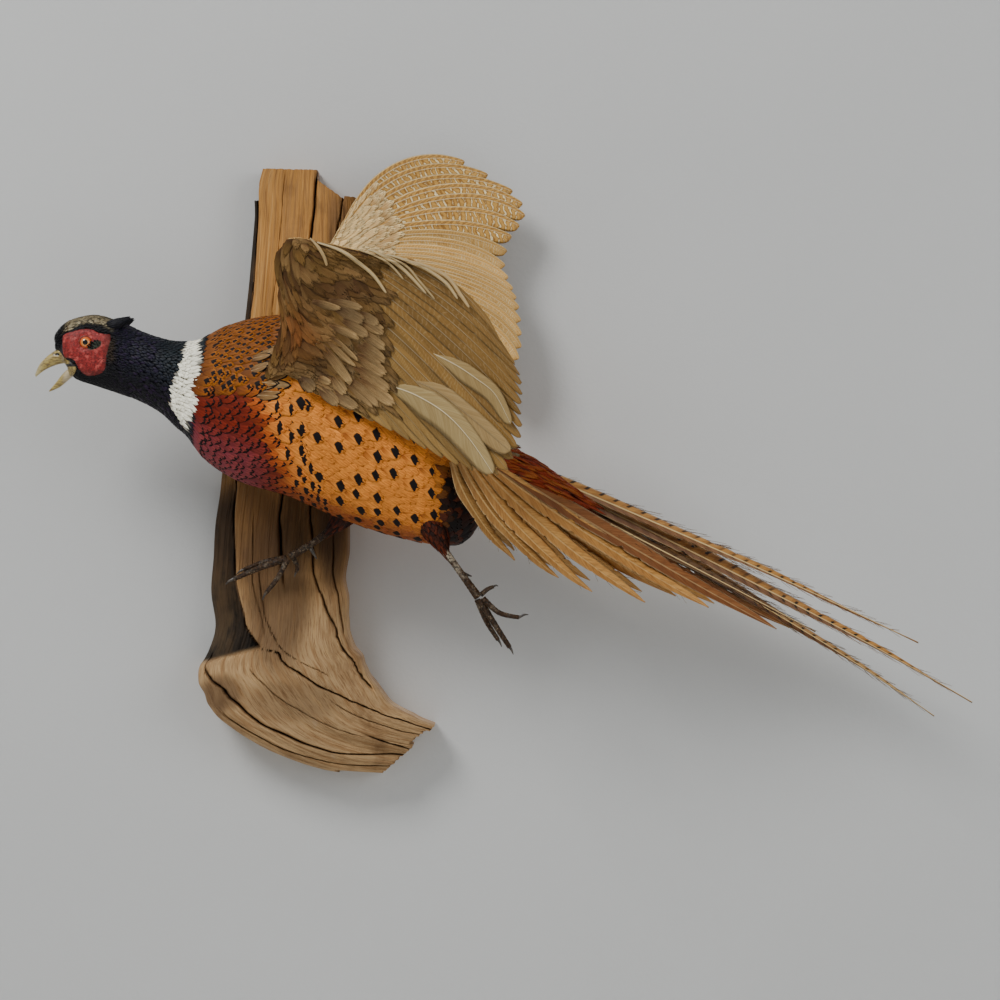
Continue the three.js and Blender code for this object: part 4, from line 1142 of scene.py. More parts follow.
class PHEASANT_OT_face(Piece, bpy.types.Operator):
    """Bare red face, lids, eyes and ear tufts"""

    bl_idname = "pheasant.face"
    bl_label = "Face and eyes"

    def execute(self, context):
        _, colours = settings()
        points, faces = tube(body_surface, np.linspace(0, 7, 170), 110)
        tree = BVHTree.FromPolygons(points.tolist(), faces[0].tolist())
        for name, kind, outline, centre, hole, dish in (
                ("bare_face", face_material(colours), FACE, EYE[[0, 2]], 0.0054, 0.0009),
                ("gape_skin", self.gape_material(colours), GAPE, GAPE_MIDDLE, 0.0003, 0)):
            x, z, height = self.bare_skin(outline, centre, hole, dish)
            spots, normals = on_head(tree, x, z)
            left = spots + normals * height[..., None]
            for side, points in (("left", left), ("right", other_side(left))):
                points, faces = points.reshape(-1, 3), ring_faces(*x.shape)
                if enclosed(points, faces) < 0:
                    faces = faces[:, ::-1]
                finish(mesh_object(f"{name}_{side}", points, [faces]), kind, "head_feathers")
        glass, lid = self.eye_material(colours), self.lid_material()
        for side, sign in (("left", -1), ("right", 1)):
            self.eye(side, sign, glass, lid)
            self.ear_tuft(side, sign, colours)
        return {"FINISHED"}

    def bare_skin(self, outline, centre, hole, dish):
        """Places of bare skin round a hole, and its height over the head."""
        closed = np.concatenate((outline[-1:], outline, outline[:2]))
        edge = smooth(closed, 1 + np.arange(96) * len(outline) / 96)
        circle = centre + unit(edge - centre) * hole
        front = np.linspace(0, 1, 26)
        r = np.concatenate((front, (0.96, 0.6, 0.3, 0.05)))
        flat = lerp(circle[:, None], edge[:, None], r[None, :, None])
        x, z = flat[..., 0], flat[..., 1]
        socket = ease(np.hypot(x - centre[0], z - centre[1]), 0.0095, 0.0048)
        lobe = ease(z, -0.092, -0.104) * ease(r, 1.0, 0.75)
        rim = np.sqrt(np.clip(1 - r ** 6, 0, 1))
        buds = value_noise(x / 0.0011, z / 0.0011, 5)
        buds = buds + 0.6 * value_noise(x / 0.00055, z / 0.00055, 6)
        height = (0.0011 + 0.0012 * lobe + 0.00035 * (buds - 0.8)) * rim - 0.0004
        height = height - dish * socket
        height[:, len(front):] -= 0.0014
        return x, z, height

    def eye_material(self, colours):
        g = new_material("Glass eye", Roughness=0.3, Specular_IOR_Level=0.1,
                         Coat_Weight=1.0, Coat_Roughness=0.02, IOR=1.5)
        away = g.maths("SQRT", g.oval(EYE[0], EYE[2], 1.0, 1.0))
        streaks = g.noise(g.stretch(g.place(), (1, 0.1, 1)), 1500.0, 2.0)
        iris = g.cover((0.80, 0.34, 0.07), (away, 0.0024, 0.0042, 1, colours.iris),
                       (streaks, 0.4, 0.7, 0.35, (0.30, 0.06, 0.01)),
                       (away, 0.0046, 0.0052, 1, (0.02, 0.006, 0.004)))
        pupil = (0.0005, 0.0005, 0.0005)
        return g.paint(g.mix(g.ease(away, 0.0022, 0.0024), pupil, iris))

    def gape_material(self, colours):
        """Pale yellow skin at the corner of the bill."""
        g = new_material("Gape", Roughness=0.45)
        folds = g.noise(g.stretch(g.place(), (1, 1, 0.4)), 700.0)
        x, _, z = g.split(g.place())
        pale = g.mix(g.ease(folds, 0.35, 0.65), colours.horn, (0.16, 0.10, 0.04))
        # Painted shade in the crease where the bill halves meet, and in the corner behind it.
        corner = g.ease(z, -0.0990, -0.0997) * g.ease(z, -0.1024, -0.1014)
        behind = g.ease(x, -0.1785, -0.1772) * g.ease(z, -0.1022, -0.1012)
        colour = g.mix(corner | behind, pale, (0.012, 0.008, 0.006))
        return g.paint(colour, folds, 0.5, 0.0005)

    def lid_material(self):
        g = new_material("Eyelid", Roughness=0.45, Coat_Weight=0.2)
        colour = g.aged((0.16, 0.022, 0.008), 700.0, 0.1)
        return g.paint(colour, g.noise(g.place(), 1800.0), 0.5, 0.0003)

    def eye(self, side, sign, glass, lid):
        x, z = EYE[0], EYE[2]
        upright = (math.pi / 2, 0, 0)
        deselect()
        bpy.ops.mesh.primitive_uv_sphere_add(
            segments=48, ring_count=32, radius=EYE_RADIUS, rotation=upright,
            location=(x, HEAD_Y - sign * EYE[1], z))
        ball = self.ready(f"glass_eye_{side}")
        finish(ball, glass, "eye_glass", f"eye_{side}")
        deselect()
        bpy.ops.mesh.primitive_torus_add(
            major_segments=64, minor_segments=14, major_radius=0.0057,
            minor_radius=0.00062, rotation=upright, location=(x, HEAD_Y + sign * 0.0167, z))
        ring = self.ready(f"eyelid_{side}")
        points = read_points(ring.data)
        angle = np.arctan2(points[:, 2] - z, points[:, 0] - x)
        points[:, 1] += sign * 0.000125 * np.sin(angle * 9)
        points[:, 2] = z + (points[:, 2] - z) * 0.93
        ring.data.vertices.foreach_set("co", points.ravel())
        finish(ring, lid, "head_feathers")

    def ready(self, name):
        """Names the part just added and leaves it unturned and smooth."""
        bpy.ops.object.transform_apply()
        bpy.ops.object.shade_smooth()
        bpy.context.active_object.name = name
        return bpy.context.active_object

    def ear_tuft(self, side, sign, colours):
        middle = HEAD_Y / MM
        surface = limb_surface([
            (-146, middle + sign * 7.5, -68, 5.4), (-136, middle + sign * 11, -64.5, 4.6),
            (-126.5, middle + sign * 13.6, -60, 1.4)])
        s, a, _, _, rng = coat_roots(0.0, 1.5, 0.0016, 0.0018, 41, surface)
        chance = rng.random(len(s))
        length = rng.uniform(0.007, 0.009, len(s))
        vane = Vane((0, 0.35, 0.7, 1), (-1, 0, 1), (0,))
        points = lay_vanes(vane, surface, s, a, length, length * 0.36,
                           rng.normal(0, 0.08, len(s)), 0.0006, 0.0003, 0.0003, chance,
                           side=-1)
        tint = lerp(np.array((0.003, 0.003, 0.004)), np.array(colours.navy),
                    chance[:, None] * 0.4)
        feathers(f"ear_tuft_feathers_{side}", vane, points, bake_roots(s, a), tint, tint,
                 None, chance, bpy.data.materials["Glossy feathers"], "head_feathers",
                 f"ear_tuft_{side}")


# ---------------------------------------------------------------------- bill
class PHEASANT_OT_bill(Piece, bpy.types.Operator):
    """Upper and lower half of the open bill, with the nostrils"""

    bl_idname = "pheasant.bill"
    bl_label = "Bill"

    def execute(self, context):
        _, colours = settings()
        material = self.horn(colours)
        for name, stations in (("upper", BILL_UPPER), ("lower", BILL_LOWER)):
            s = lerp(-0.35, 4.0, np.linspace(0, 1, 56) ** 0.9)
            points, faces = tube(lambda p, a, k=stations: section_point(k, p, a), s, 40)
            if name == "upper":
                self.raise_nostrils(points)
            piece = mesh_object(f"bill_{name}_horn", points, faces)
            finish(piece, material, "bill_horn", f"bill_{name}")
        return {"FINISHED"}

    def raise_nostrils(self, points):
        """Raises the flap over each nostril and sinks the slit under it."""
        x, y, z = points.T
        flap = np.exp(-((x + 0.1885) / 0.0030) ** 2 - ((z + 0.0893) / 0.0026) ** 2)
        slit = np.exp(-((x + 0.1893) / 0.0019) ** 2 - ((z + 0.0908) / 0.0010) ** 2)
        points[:, 1] += np.sign(y - HEAD_Y) * (0.0014 * flap - 0.0022 * slit)

    def horn(self, colours):
        g = new_material("Horn", Roughness=0.33, Coat_Weight=0.25, Coat_Roughness=0.3)
        x = g.split(g.place())[0]
        grain = g.noise(g.stretch(g.place(), (0.5, 1, 1.4)), 420.0, 4.0)
        # Painted shade fills the nostril slit.
        slit = g.oval(-0.1893, -0.0908, 0.0021, 0.0012)
        colour = g.cover(colours.horn, (grain, 0.38, 0.66, 1, (0.17, 0.11, 0.035)),
                         (x, -0.187, -0.181, 0.7, (0.60, 0.50, 0.34)),
                         (x, -0.2, -0.21, 0.5, (0.62, 0.55, 0.33)),
                         (slit, 1.3, 0.6, 1, (0.012, 0.008, 0.006)))
        return g.paint(colour, grain, 0.25, 0.0004)


# --------------------------------------------------------------------- wings
def arm_share(wing, f):
    """How far out along the feathers the arm reaches."""
    start, _, end = wing_line(wing, f)
    width = lerp(15, 42, ease(f, 0, 0.6)) * lerp(1, 0.5, ease(f, 0.75, 1)) * MM
    return width / np.linalg.norm(end - start, axis=-1)


def arm_height(wing):
    """Half the thickness that the coverts lie on."""
    def height(v, f):
        f = np.clip(f, 0, 1)
        share = v / arm_share(wing, f)
        swell = np.sin(np.pi * np.clip(share * 0.72 + 0.06, 0, 1))
        inner = lerp(4, 12, swell) * lerp(0.6, 1, f) / 2
        return lerp(inner, 1.3, ease(share, 0.75, 1.6)) * MM
    return height


def flight_points(wing, vane, centre, first, last, half, shaft, chance, rng):
    """Points of the long feathers of a wing, each overlapping the next."""
    column = (slice(None), None)
    surface = wing_surface(wing)
    v = lerp(first[column], last[column], vane.t)
    middle = centre[column] + np.zeros_like(v)
    rate = np.linalg.norm(rates(surface, v, middle, 0.005)[2], axis=-1)
    power = np.where(centre[column] < OUTER_SHARE, 6.0, 10.0)
    width = half * np.clip(0.5 + 1.8 * vane.t, 0, 1) * closing(vane.t, power, 0.0012)
    width = width * np.where(vane.u < 0, 0.62, 1.2)
    quill = shaft * lerp(1.0, 0.22, vane.t) / rate
    offset = np.sign(vane.u) * quill + np.where(vane.on_shaft, 0, vane.u * width)
    notch = np.zeros_like(v)
    each = (len(centre), 1)
    for _ in range(4):
        at, deep = rng.uniform(0.35, 0.97, each), rng.uniform(0.1, 0.34, each)
        deep = deep * (vane.u * rng.choice((-1, 1), each) > 0.9)
        notch = np.maximum(notch, deep * ease(np.abs(vane.t - at), 0.016, 0.0))
    f = middle + offset * (1 - notch)
    spot, along, across = rates(surface, v, f, 0.005)
    normal = -unit(np.cross(along, across))
    ridge = np.where(vane.u == 0, quill * rate * 0.9, 0)
    wave = 0.0007 * np.sin(vane.t * 9 + chance[column] * 9) * vane.u
    height = (0.0005 * vane.u - 0.0006 * vane.u ** 2 + wave
              + vane.face * (0.0002 + ridge))
    return spot + normal * height[..., None]


# How far the coverts reach: places along the wing and shares of the chord there, for
# its front (1) and its back (-1).
COVERTS = {
    "left": {1: ((0, .2, .4, .57, .71, .86, 1), (.16, .2, .34, .46, .6, .88, .97)),
             -1: ((0, .3, .6, 1), (.36, .42, .5, .75))},
    "right": {1: ((0, .2, .4, .6, .8, 1), (.34, .36, .42, .48, .56, .7)),
              -1: ((0, .3, .6, 1), (.3, .36, .44, .7))},
}


# Feathers over the near wing's front: x and z along each in mm, half width,
# colour and strength of its shaft.
EDGE_FEATHERS = [
    (((35.6, 1.9), (42.8, -5.9), (47.6, -14.3), (49.4, -20.9)), 1.2,
     (0.50, 0.34, 0.15), 1.0),
    (((41.6, -1.7), (60.8, -8.3), (75.2, -17.9), (88.4, -28.7), (99.2, -43.7)), 1.4,
     (0.58, 0.42, 0.20), 2.0),
    (((75.2, -7.7), (93.2, -14.3), (104, -21.5), (113.6, -32.3)), 0.8,
     (0.50, 0.36, 0.17), 1.5),
    (((84, -8), (92, -10.5), (108.8, -20.3), (120.8, -31.1), (132.8, -44.3)), 1.3,
     (0.58, 0.42, 0.20), 2.0),
    (((95.6, -10.7), (116, -21.5), (126.8, -33.5), (140, -49.1)), 0.9,
     (0.46, 0.32, 0.14), 1.5),
    (((100, -12), (113.6, -16), (132.8, -23.9), (149.6, -35.9), (159.2, -49.1)), 1.3,
     (0.58, 0.42, 0.20), 2.0),
    (((112, -16), (132.8, -21.5), (150.8, -31.1), (161.6, -45.5), (168.8, -56.3)), 1.4,
     (0.56, 0.38, 0.17), 1.5),
]
INNER_FEATHERS = [
    (((110, -112), (138.8, -123.5), (162.8, -141.5), (185.6, -160.7), (203, -176)), 10.5,
     (0.36, 0.24, 0.10), 0.4),
    (((135, -92), (156.8, -103.1), (174.8, -115.1), (190.4, -128.3), (203.5, -153)), 8,
     (0.38, 0.26, 0.105), 3.0),
    (((98, -119), (123.2, -128.3), (148.4, -143.9), (168.8, -165.5), (188.5, -194.5)), 12.5,
     (0.43, 0.31, 0.135), 4.0),
]
# Soft lobes of the lining: x and z of root and tip in mm, half width, tone.
LOBES = [
    (58, -51, 80, -56, 3.0, 0.5), (43, -51, 61, -56, 3.0, 0.6), (61, -57, 82, -68, 4.4, 0.3),
    (66, -69, 84, -79, 4.0, 0.5), (56, -73, 76, -82, 4.0, 0.9), (54, -85, 75, -104, 4.2, 1.0),
    (51, -95, 70, -120, 4.0, 1.0), (42, -114, 51, -118, 2.6, 0.9),
    (54, -115, 64, -128, 3.6, 0.8), (80, -62, 93, -69, 4.2, 0.5),
    (82, -68, 97, -77, 4.2, 0.6), (82, -79, 99, -90, 4.4, 0.7), (81, -89, 98, -101, 4.4, 0.7),
    (79, -99, 99, -112, 4.6, 0.8), (79, -109, 102, -125, 4.8, 0.9),
    (82, -119, 107, -138, 5.0, 1.0), (70, -120, 92, -140, 5.0, 0.7),
    (46, -126, 58, -137, 4.0, 0.5), (57, -128, 75, -139, 4.4, 0.6),
    (28, -115, 37, -125, 4.5, 0.2),
]
# Long feathers of the far wing: x and z of root, bend and tip in mm, every second one.
FAR_FEATHERS = np.array([
    (50, 16, 90, 102, 163, 85), (52, 15, 118, 94, 206, 59), (54, 13, 158, 77, 217, 37),
    (56, 10, 141.5, 42, 205, 18), (62, 5, 150, 27, 199, -8), (68, 1, 163, 7, 206, -29),
    (76, -4, 173, -8, 211.5, -46), (84, -14, 183, -24, 213.5, -70),
    (90, -30, 190, -45, 211, -92), (86, -52, 176, -72, 196, -110),
])
BROAD_FEATHERS = 7  # the first of them, broader and barred


class PHEASANT_OT_wings(Piece, bpy.types.Operator):
    """Flight feathers and coverts of both wings"""

    bl_idname = "pheasant.wings"
    bl_label = "Wings"

    def execute(self, context):
        sizes, colours = settings()
        covert = coat_material("Wing coverts", (0.60, 0.50, 0.33), barbs=46.0,
                               Roughness=0.7, Specular_IOR_Level=0.2)
        speckled = coat_material("Speckled coverts", (0.42, 0.25, 0.10), barbs=40.0,
                                 root=(0.85, 0.76, 0.62), gaps=(0.60, 0.47, 0.30),
                                 Roughness=0.7, Specular_IOR_Level=0.2)
        for side, wing in WINGS.items():
            material = flight_material(f"Flight feathers {side}", colours, side == "right")
            tree = self.relief(wing)
            if side == "left":
                self.near_flight(wing, sizes, colours, material)
            else:
                self.far_flight(tree, colours, material)
            for face in (1, -1):
                upper = (side == "right") == (face == 1)
                self.coverts(side, wing, face, upper, colours,
                             speckled if upper else covert)
            if side == "left":
                self.draped(tree, material, covert)
        self.scapulars(colours)
        return {"FINISHED"}

    def near_flight(self, wing, sizes, colours, material):
        rng = np.random.default_rng(51)
        count = FEATHERS_PER_WING
        centre = (np.arange(count) + 0.5) / count
        vane = long_vane(56, 0.85, 0.72, 0.42, 0.16)
        first = arm_share(wing, centre) * 0.35
        last = 1 - rng.uniform(0, 0.008, count)
        chance = rng.random(count)
        points = flight_points(wing, vane, centre, first, last, 0.95 / count,
                               sizes.shaft, chance, rng)
        start, _, end = wing_line(wing, centre)
        length = np.linalg.norm(end - start, axis=1)
        inner = ease(centre, 0.35, 0.75)[:, None]
        tint = lerp(np.array(colours.sand), np.array((0.42, 0.24, 0.09)), inner)
        tint = tint * rng.uniform(0.88, 1.12, (count, 1))
        under = np.array(colours.olive) * rng.uniform(0.85, 1.15, (count, 1))
        under = lerp(under * (0.95, 0.88, 0.78), under * 1.12, inner)
        bars = length / lerp(0.0052, 0.0024, ease(centre, 0.36, 0.5))
        mark = np.stack((bars, lerp(1.0, 0.7, inner[:, 0]), np.ones(count)), 1)
        feathers("flight_feathers_left", vane, points, None, tint, under, mark, chance,
                 material, "wing_under", "wing_left_primaries", "wing_left_secondaries")

    def relief(self, wing):
        """The wing's front as its coverts leave it, for feathers laid over it."""
        rows, columns = 70, 60
        v, f = np.meshgrid(np.linspace(-0.02, 1.02, rows),
                           np.linspace(-0.03, 1.03, columns), indexing="ij")
        spot, along, across = rates(wing_surface(wing), v, f)
        normal = unit(np.cross(along, across))
        normal = normal * -np.sign(normal[..., 1:2])
        spot = spot + normal * (0.0008 + arm_height(wing)(v, f))[..., None]
        first = (np.arange(rows - 1)[:, None] * columns + np.arange(columns - 1)).ravel()
        quads = np.stack((first, first + 1, first + columns + 1, first + columns), -1)
        return BVHTree.FromPolygons(spot.reshape(-1, 3).tolist(), quads.tolist())

    def far_flight(self, tree, colours, material):
        """Long feathers of the far wing, fanned out behind the near one."""
        rng = np.random.default_rng(52)
        count = 2 * len(FAR_FEATHERS) - 1
        rows = smooth(FAR_FEATHERS, np.arange(count) / 2)
        vane = long_vane(56, 0.85, 0.72, 0.42, 0.16)
        t = np.linspace(0, 1, 7)[:, None]
        points = []
        for k, row in enumerate(rows):
            path = row[:2] * (1 - t) ** 2 + row[2:4] * 2 * t * (1 - t) + row[4:] * t * t
            half = (11.5 if k < BROAD_FEATHERS else 10.5) * MM
            points.append(self.drape(tree, path, vane, half, (-1.5, 0.2), 7.0,
                                     (0.36, 1.2), 1.0, -0.05))
        broad = (np.arange(count) < BROAD_FEATHERS)[:, None]
        tint = np.where(broad, np.array(colours.sand), (0.62, 0.37, 0.11))
        tint = tint * rng.uniform(1.0, 1.2, (count, 1))
        under = np.array(colours.olive) * rng.uniform(0.9, 1.3, (count, 1))
        mark = np.where(broad, (27.0, 1.0, 0.7), (58.0, 0.6, 0.6))
        feathers("flight_feathers_right", vane, np.array(points), None, tint, under, mark,
                 rng.random(count), material, "wing_upper", "wing_right_primaries",
                 "wing_right_secondaries")

    def draped(self, tree, material, covert):
        """Single feathers and soft lobes over the front of the near wing."""
        rng = np.random.default_rng(57)
        vane = long_vane(40, 0.9, 0.7, 0.4, 0.14)
        for name, plans, lifts, power, sides in (
                ("wing_edge_feathers", EDGE_FEATHERS, (0.6, 1.8), 12.0, (1, 1)),
                ("wing_inner_feathers", INNER_FEATHERS, (-5.5, 2.0), 5.0, (0.75, 1.2))):
            points = np.array([
                self.drape(tree, path, vane, half * MM,
                           (lifts[0] + 0.5 * k, lifts[1] + 0.5 * k), power, sides,
                           early=0.45) for k, (path, half, _, _) in enumerate(plans)])
            tips = np.array([tip for _, _, tip, _ in plans])
            mark = np.array([(0, 0, shaft) for _, _, _, shaft in plans])
            feathers(name, vane, points, None, tips, tips, mark, rng.random(len(tips)),
                     material, "wing_under")
        small = Vane(np.linspace(0, 1, 12), (-1, -0.6, -0.2, 0.2, 0.6, 1), (0,), 0.1)
        points, tips = [], []
        for x1, z1, x2, z2, half, tone in LOBES:
            along = np.array((x2 - x1, z2 - z1))
            across = np.array((-along[1], along[0])) / np.linalg.norm(along)
            for _ in range(9):
                lean = rng.uniform(-0.75, 0.75)
                start = np.array((x1, z1)) + across * lean * half * 0.7 - along * 0.35
                stop = (np.array((x2, z2)) + across * lean * half
                        - along * (0.22 * lean ** 2 + rng.uniform(0, 0.12)))
                middle = (start + stop) / 2 + across * lean * half * 0.25
                points.append(self.drape(tree, (start, middle, stop), small,
                                         half * 0.5 * MM, (-0.8, 1.2 - 1.1 * lean ** 2),
                                         4.0, roll=0.3))
                tan = lerp(np.array((0.17, 0.11, 0.05)), np.array((0.50, 0.33, 0.14)), tone)
                tips.append(tan * rng.uniform(0.8, 1.15))
        tips = np.array(tips)
        feathers("wing_lining_lobes", small, np.array(points), None, tips * 0.7, tips, None,
                 rng.random(len(tips)), covert, "wing_under")

    def drape(self, tree, path, vane, half, lifts, power, sides=(1, 1), roll=0.0,
              behind=-0.22, early=1.0):
        """Points of one feather along a path in x and z over the wing."""
        rows = np.array(path) * MM
        last = len(rows) - 1

        def at(t):
            return smooth(rows, np.clip(t, 0, 1) * last)
        step = at(vane.t + 0.03) - at(vane.t - 0.03)
        across = unit(np.stack((step[:, 1], -step[:, 0]), -1))
        width = half * np.clip(0.16 + 2.4 * vane.t, 0, 1) * closing(vane.t, power, 0.0016)
        width = width * np.where(vane.u < 0, sides[0], sides[1])
        quill = np.minimum(0.0005 * lerp(1, 0.3, vane.t), half * 0.3)
        y = np.sign(vane.u) * quill + np.where(vane.on_shaft, 0, vane.u * width)
        flat = at(vane.t) + across * y[:, None]
        depth = []
        for px, pz in flat:
            spot, _, _, _ = tree.ray_cast((px, -0.6, pz), (0, 1, 0))
            if spot is None:
                spot = tree.find_nearest((px, behind, pz))[0]
            depth.append(spot.y)
        ridge = np.where(vane.u == 0, quill, 0)
        lift = lerp(lifts[0], lifts[1], vane.t ** early) * MM
        lift = lift - (0.0008 * vane.u + roll * MM) * vane.u
        lift = lift + vane.face * (0.0002 + ridge)
        return np.stack((flat[:, 0], np.array(depth) - lift, flat[:, 1]), -1)

    def coverts(self, side, wing, face, upper, colours, material):
        """Rows of small feathers from the leading edge out over the long ones."""
        rng = np.random.default_rng(61 + face + 10 * (side == "left"))
        surface = wing_surface(wing)
        places, reaches = COVERTS[side][face]
        rows = 13
        v, f, length, gap, turn = [], [], [], [], []
        for row in range(rows):
            share = row / (rows - 1)
            fine = np.linspace(-0.01, 1.01, 300)
            root = np.interp(fine, places, reaches) * lerp(0.0, 0.66, share)
            run = distances(surface(root, fine))
            spacing = lerp(0.0034, 0.0062, share)
            at = np.arange(spacing * (0.5 + 0.5 * (row % 2)), run[-1], spacing)
            at = at + rng.normal(0, 0.14, len(at)) * spacing
            f.append(np.interp(at, run, fine))
            v.append(np.interp(at, run, root) * rng.uniform(0.94, 1.06, len(at)))
            start, _, end = wing_line(wing, np.clip(f[-1], 0, 1))
            whole = np.linalg.norm(end - start, axis=1)
            reach = np.interp(f[-1], places, reaches)
            length.append(np.clip(whole * reach * lerp(0.24, 0.38, share), 0.009, 0.05))
            gap.append(np.full(len(at), spacing))
            turn.append(np.full(len(at), 1.25 * face * ease(share, 0.2, 0)))
        v, f, length, gap, turn = (np.concatenate(k) for k in (v, f, length, gap, turn))
        count = len(v)
        chance = rng.random(count)
        length = length * rng.uniform(0.85, 1.15, count)
        width = np.clip(length * (0.34 if upper else 0.44), 0.004, gap * 2.0)
        vane = Vane((0, 0.25, 0.5, 0.75, 0.92, 1), WIDE, (0,), 0.12)
        points = lay_vanes(vane, surface, v, f, length, width,
                           turn + rng.normal(0, 0.08 if upper else 0.17, count),
                           0.0014, 0.0002 + 0.0007 * chance ** 2,
                           0.00025, chance, side=-face, base=arm_height(wing))
        share = v / np.interp(f, places, reaches)
        tips = points[:, -1] / MM
        if upper:
            tint = blend_colours((0.46, 0.29, 0.12),
                                 ((0.84, 0.61, 0.29), ease(share, 0.62, 0.3)))
            tip = np.tile((0.93, 0.72, 0.38), (count, 1))
        else:
            tint, tip = self.lining(colours, tips[:, 0], tips[:, 2], f, share, chance)
        mark = np.tile((0, 0, 0.8 if upper else 0), (count, 1))
        tint = tint * (0.88 + 0.24 * chance[:, None])
        roots = np.stack((ease(v, v.min(), v.max()), np.clip(f, 0, 1)), -1)
        feathers(f"wing_coverts_{side}_{'front' if face == 1 else 'back'}", vane, points,
                 roots, tint, tip, mark, chance, material,
                 "wing_upper" if upper else "wing_under")

    def lining(self, colours, x, z, f, share, chance):
        """Mottled browns under the wing, from places in mm, with a painted shadow under its
        front edge.
        """
        patches = value_noise(x / 9, z / 9, 63) * 0.7 + value_noise(x / 3.5, z / 3.5, 64) * 0.4

        def spot(px, pz, wide, high):
            away = ((x - px) / wide) ** 2 + ((z - pz) / high) ** 2
            return np.exp(-away) * lerp(0.6, 1.1, patches)
        tint = blend_colours(
            np.array(colours.olive) * (0.62, 0.58, 0.5),
            ((0.25, 0.15, 0.055), ease(patches, 0.45, 0.8) * 0.8),
            ((0.07, 0.032, 0.010), ease(patches, 0.42, 0.2) * 0.8),
            ((0.23, 0.075, 0.016), spot(27, -85, 20, 20) * 0.9),
            # Painted shadow below the wing's front edge.
            ((0.065, 0.026, 0.008), spot(68, -48, 34, 13) * 0.9),
            ((0.035, 0.014, 0.005), spot(47, -112, 13, 12) * 0.9),
            ((0.040, 0.022, 0.010), spot(74, -106, 9, 22) * 0.7),
            ((0.24, 0.16, 0.07), spot(24, -112, 16, 9) * 0.7))
        pale = ease(f, 0.42, 0.56) * ease(share, 0.15, 0.6)
        tip = blend_colours(tint * 1.15, ((0.30, 0.21, 0.10), pale * chance * 0.6))
        return tint, tip

    def scapulars(self, colours):
        """Cream shoulder feathers outlined in black, over the roots of the wings."""
        rng = np.random.default_rng(71)
        vane = Vane(np.linspace(0, 1, 12), (-1, -0.7, -0.35, 0, 0.35, 0.7, 1),
                    (0.7, 0.35, 0, -0.35, -0.7))
        outlined = coat_material("Shoulder feathers", colours.ink, barbs=30.0,
                                 Roughness=0.6, Specular_IOR_Level=0.2)
        count = 18
        row, column = np.divmod(np.arange(count), 6)
        for side, sign in (("left", -1), ("right", 1)):
            s = 10.9 + row * 0.2 + rng.normal(0, 0.04, count)
            a = sign * (1.52 - column * 0.085 + rng.normal(0, 0.03, count))
            length = rng.uniform(0.019, 0.027, count)
            chance = rng.random(count)
            points = lay_vanes(vane, body_surface, s, a, length, length * 0.34,
                               rng.normal(-0.3, 0.22, count) * -sign,
                               0.0004, rng.uniform(0.0004, 0.0014, count), 0.0003, chance)
            cream = np.tile((0.33, 0.20, 0.075), (count, 1))
            tint = blend_colours(cream, ((0.20, 0.10, 0.03), ease(chance, 0.3, 1) * 0.9))
            feathers(f"shoulder_feathers_{side}", vane, points, bake_roots(s, a), tint,
                     cream, np.tile((0, 0.17, 0.3), (count, 1)), chance, outlined,
                     "body_feathers")


# ---------------------------------------------------------------------- tail
def tail_width(t, taper):
    """Share of a tail feather's full width along its length."""
    base = np.minimum(0.55 + 1.6 * t, 1)
    return base * np.clip(1 - t ** taper[0], 0, 1) ** taper[1]


def tail_feather(base, tip, bow, side, tilt, layer, bend_at):
    """A frame for one tail feather: t along and y across to a point and its normal."""
    start, end = np.array(base) * MM, np.array(tip) * MM
    chord = unit(end - start)
    down = np.array((0, side * math.sin(tilt), -math.cos(tilt)))
    across = unit(down - chord * down.dot(chord))
    outward = unit(np.cross(across, chord) * side)
    bend = lerp(start, end, bend_at) - across * 2 * bow * MM

    def place(t, y, height):
        t, y, height = (v[..., None] for v in (t, y, height))
        centre = start * (1 - t) ** 2 + bend * 2 * t * (1 - t) + end * t * t
        return (centre + outward * (layer * lerp(0.55, 2.1, t) * MM + height)
                + across * y)
    return place


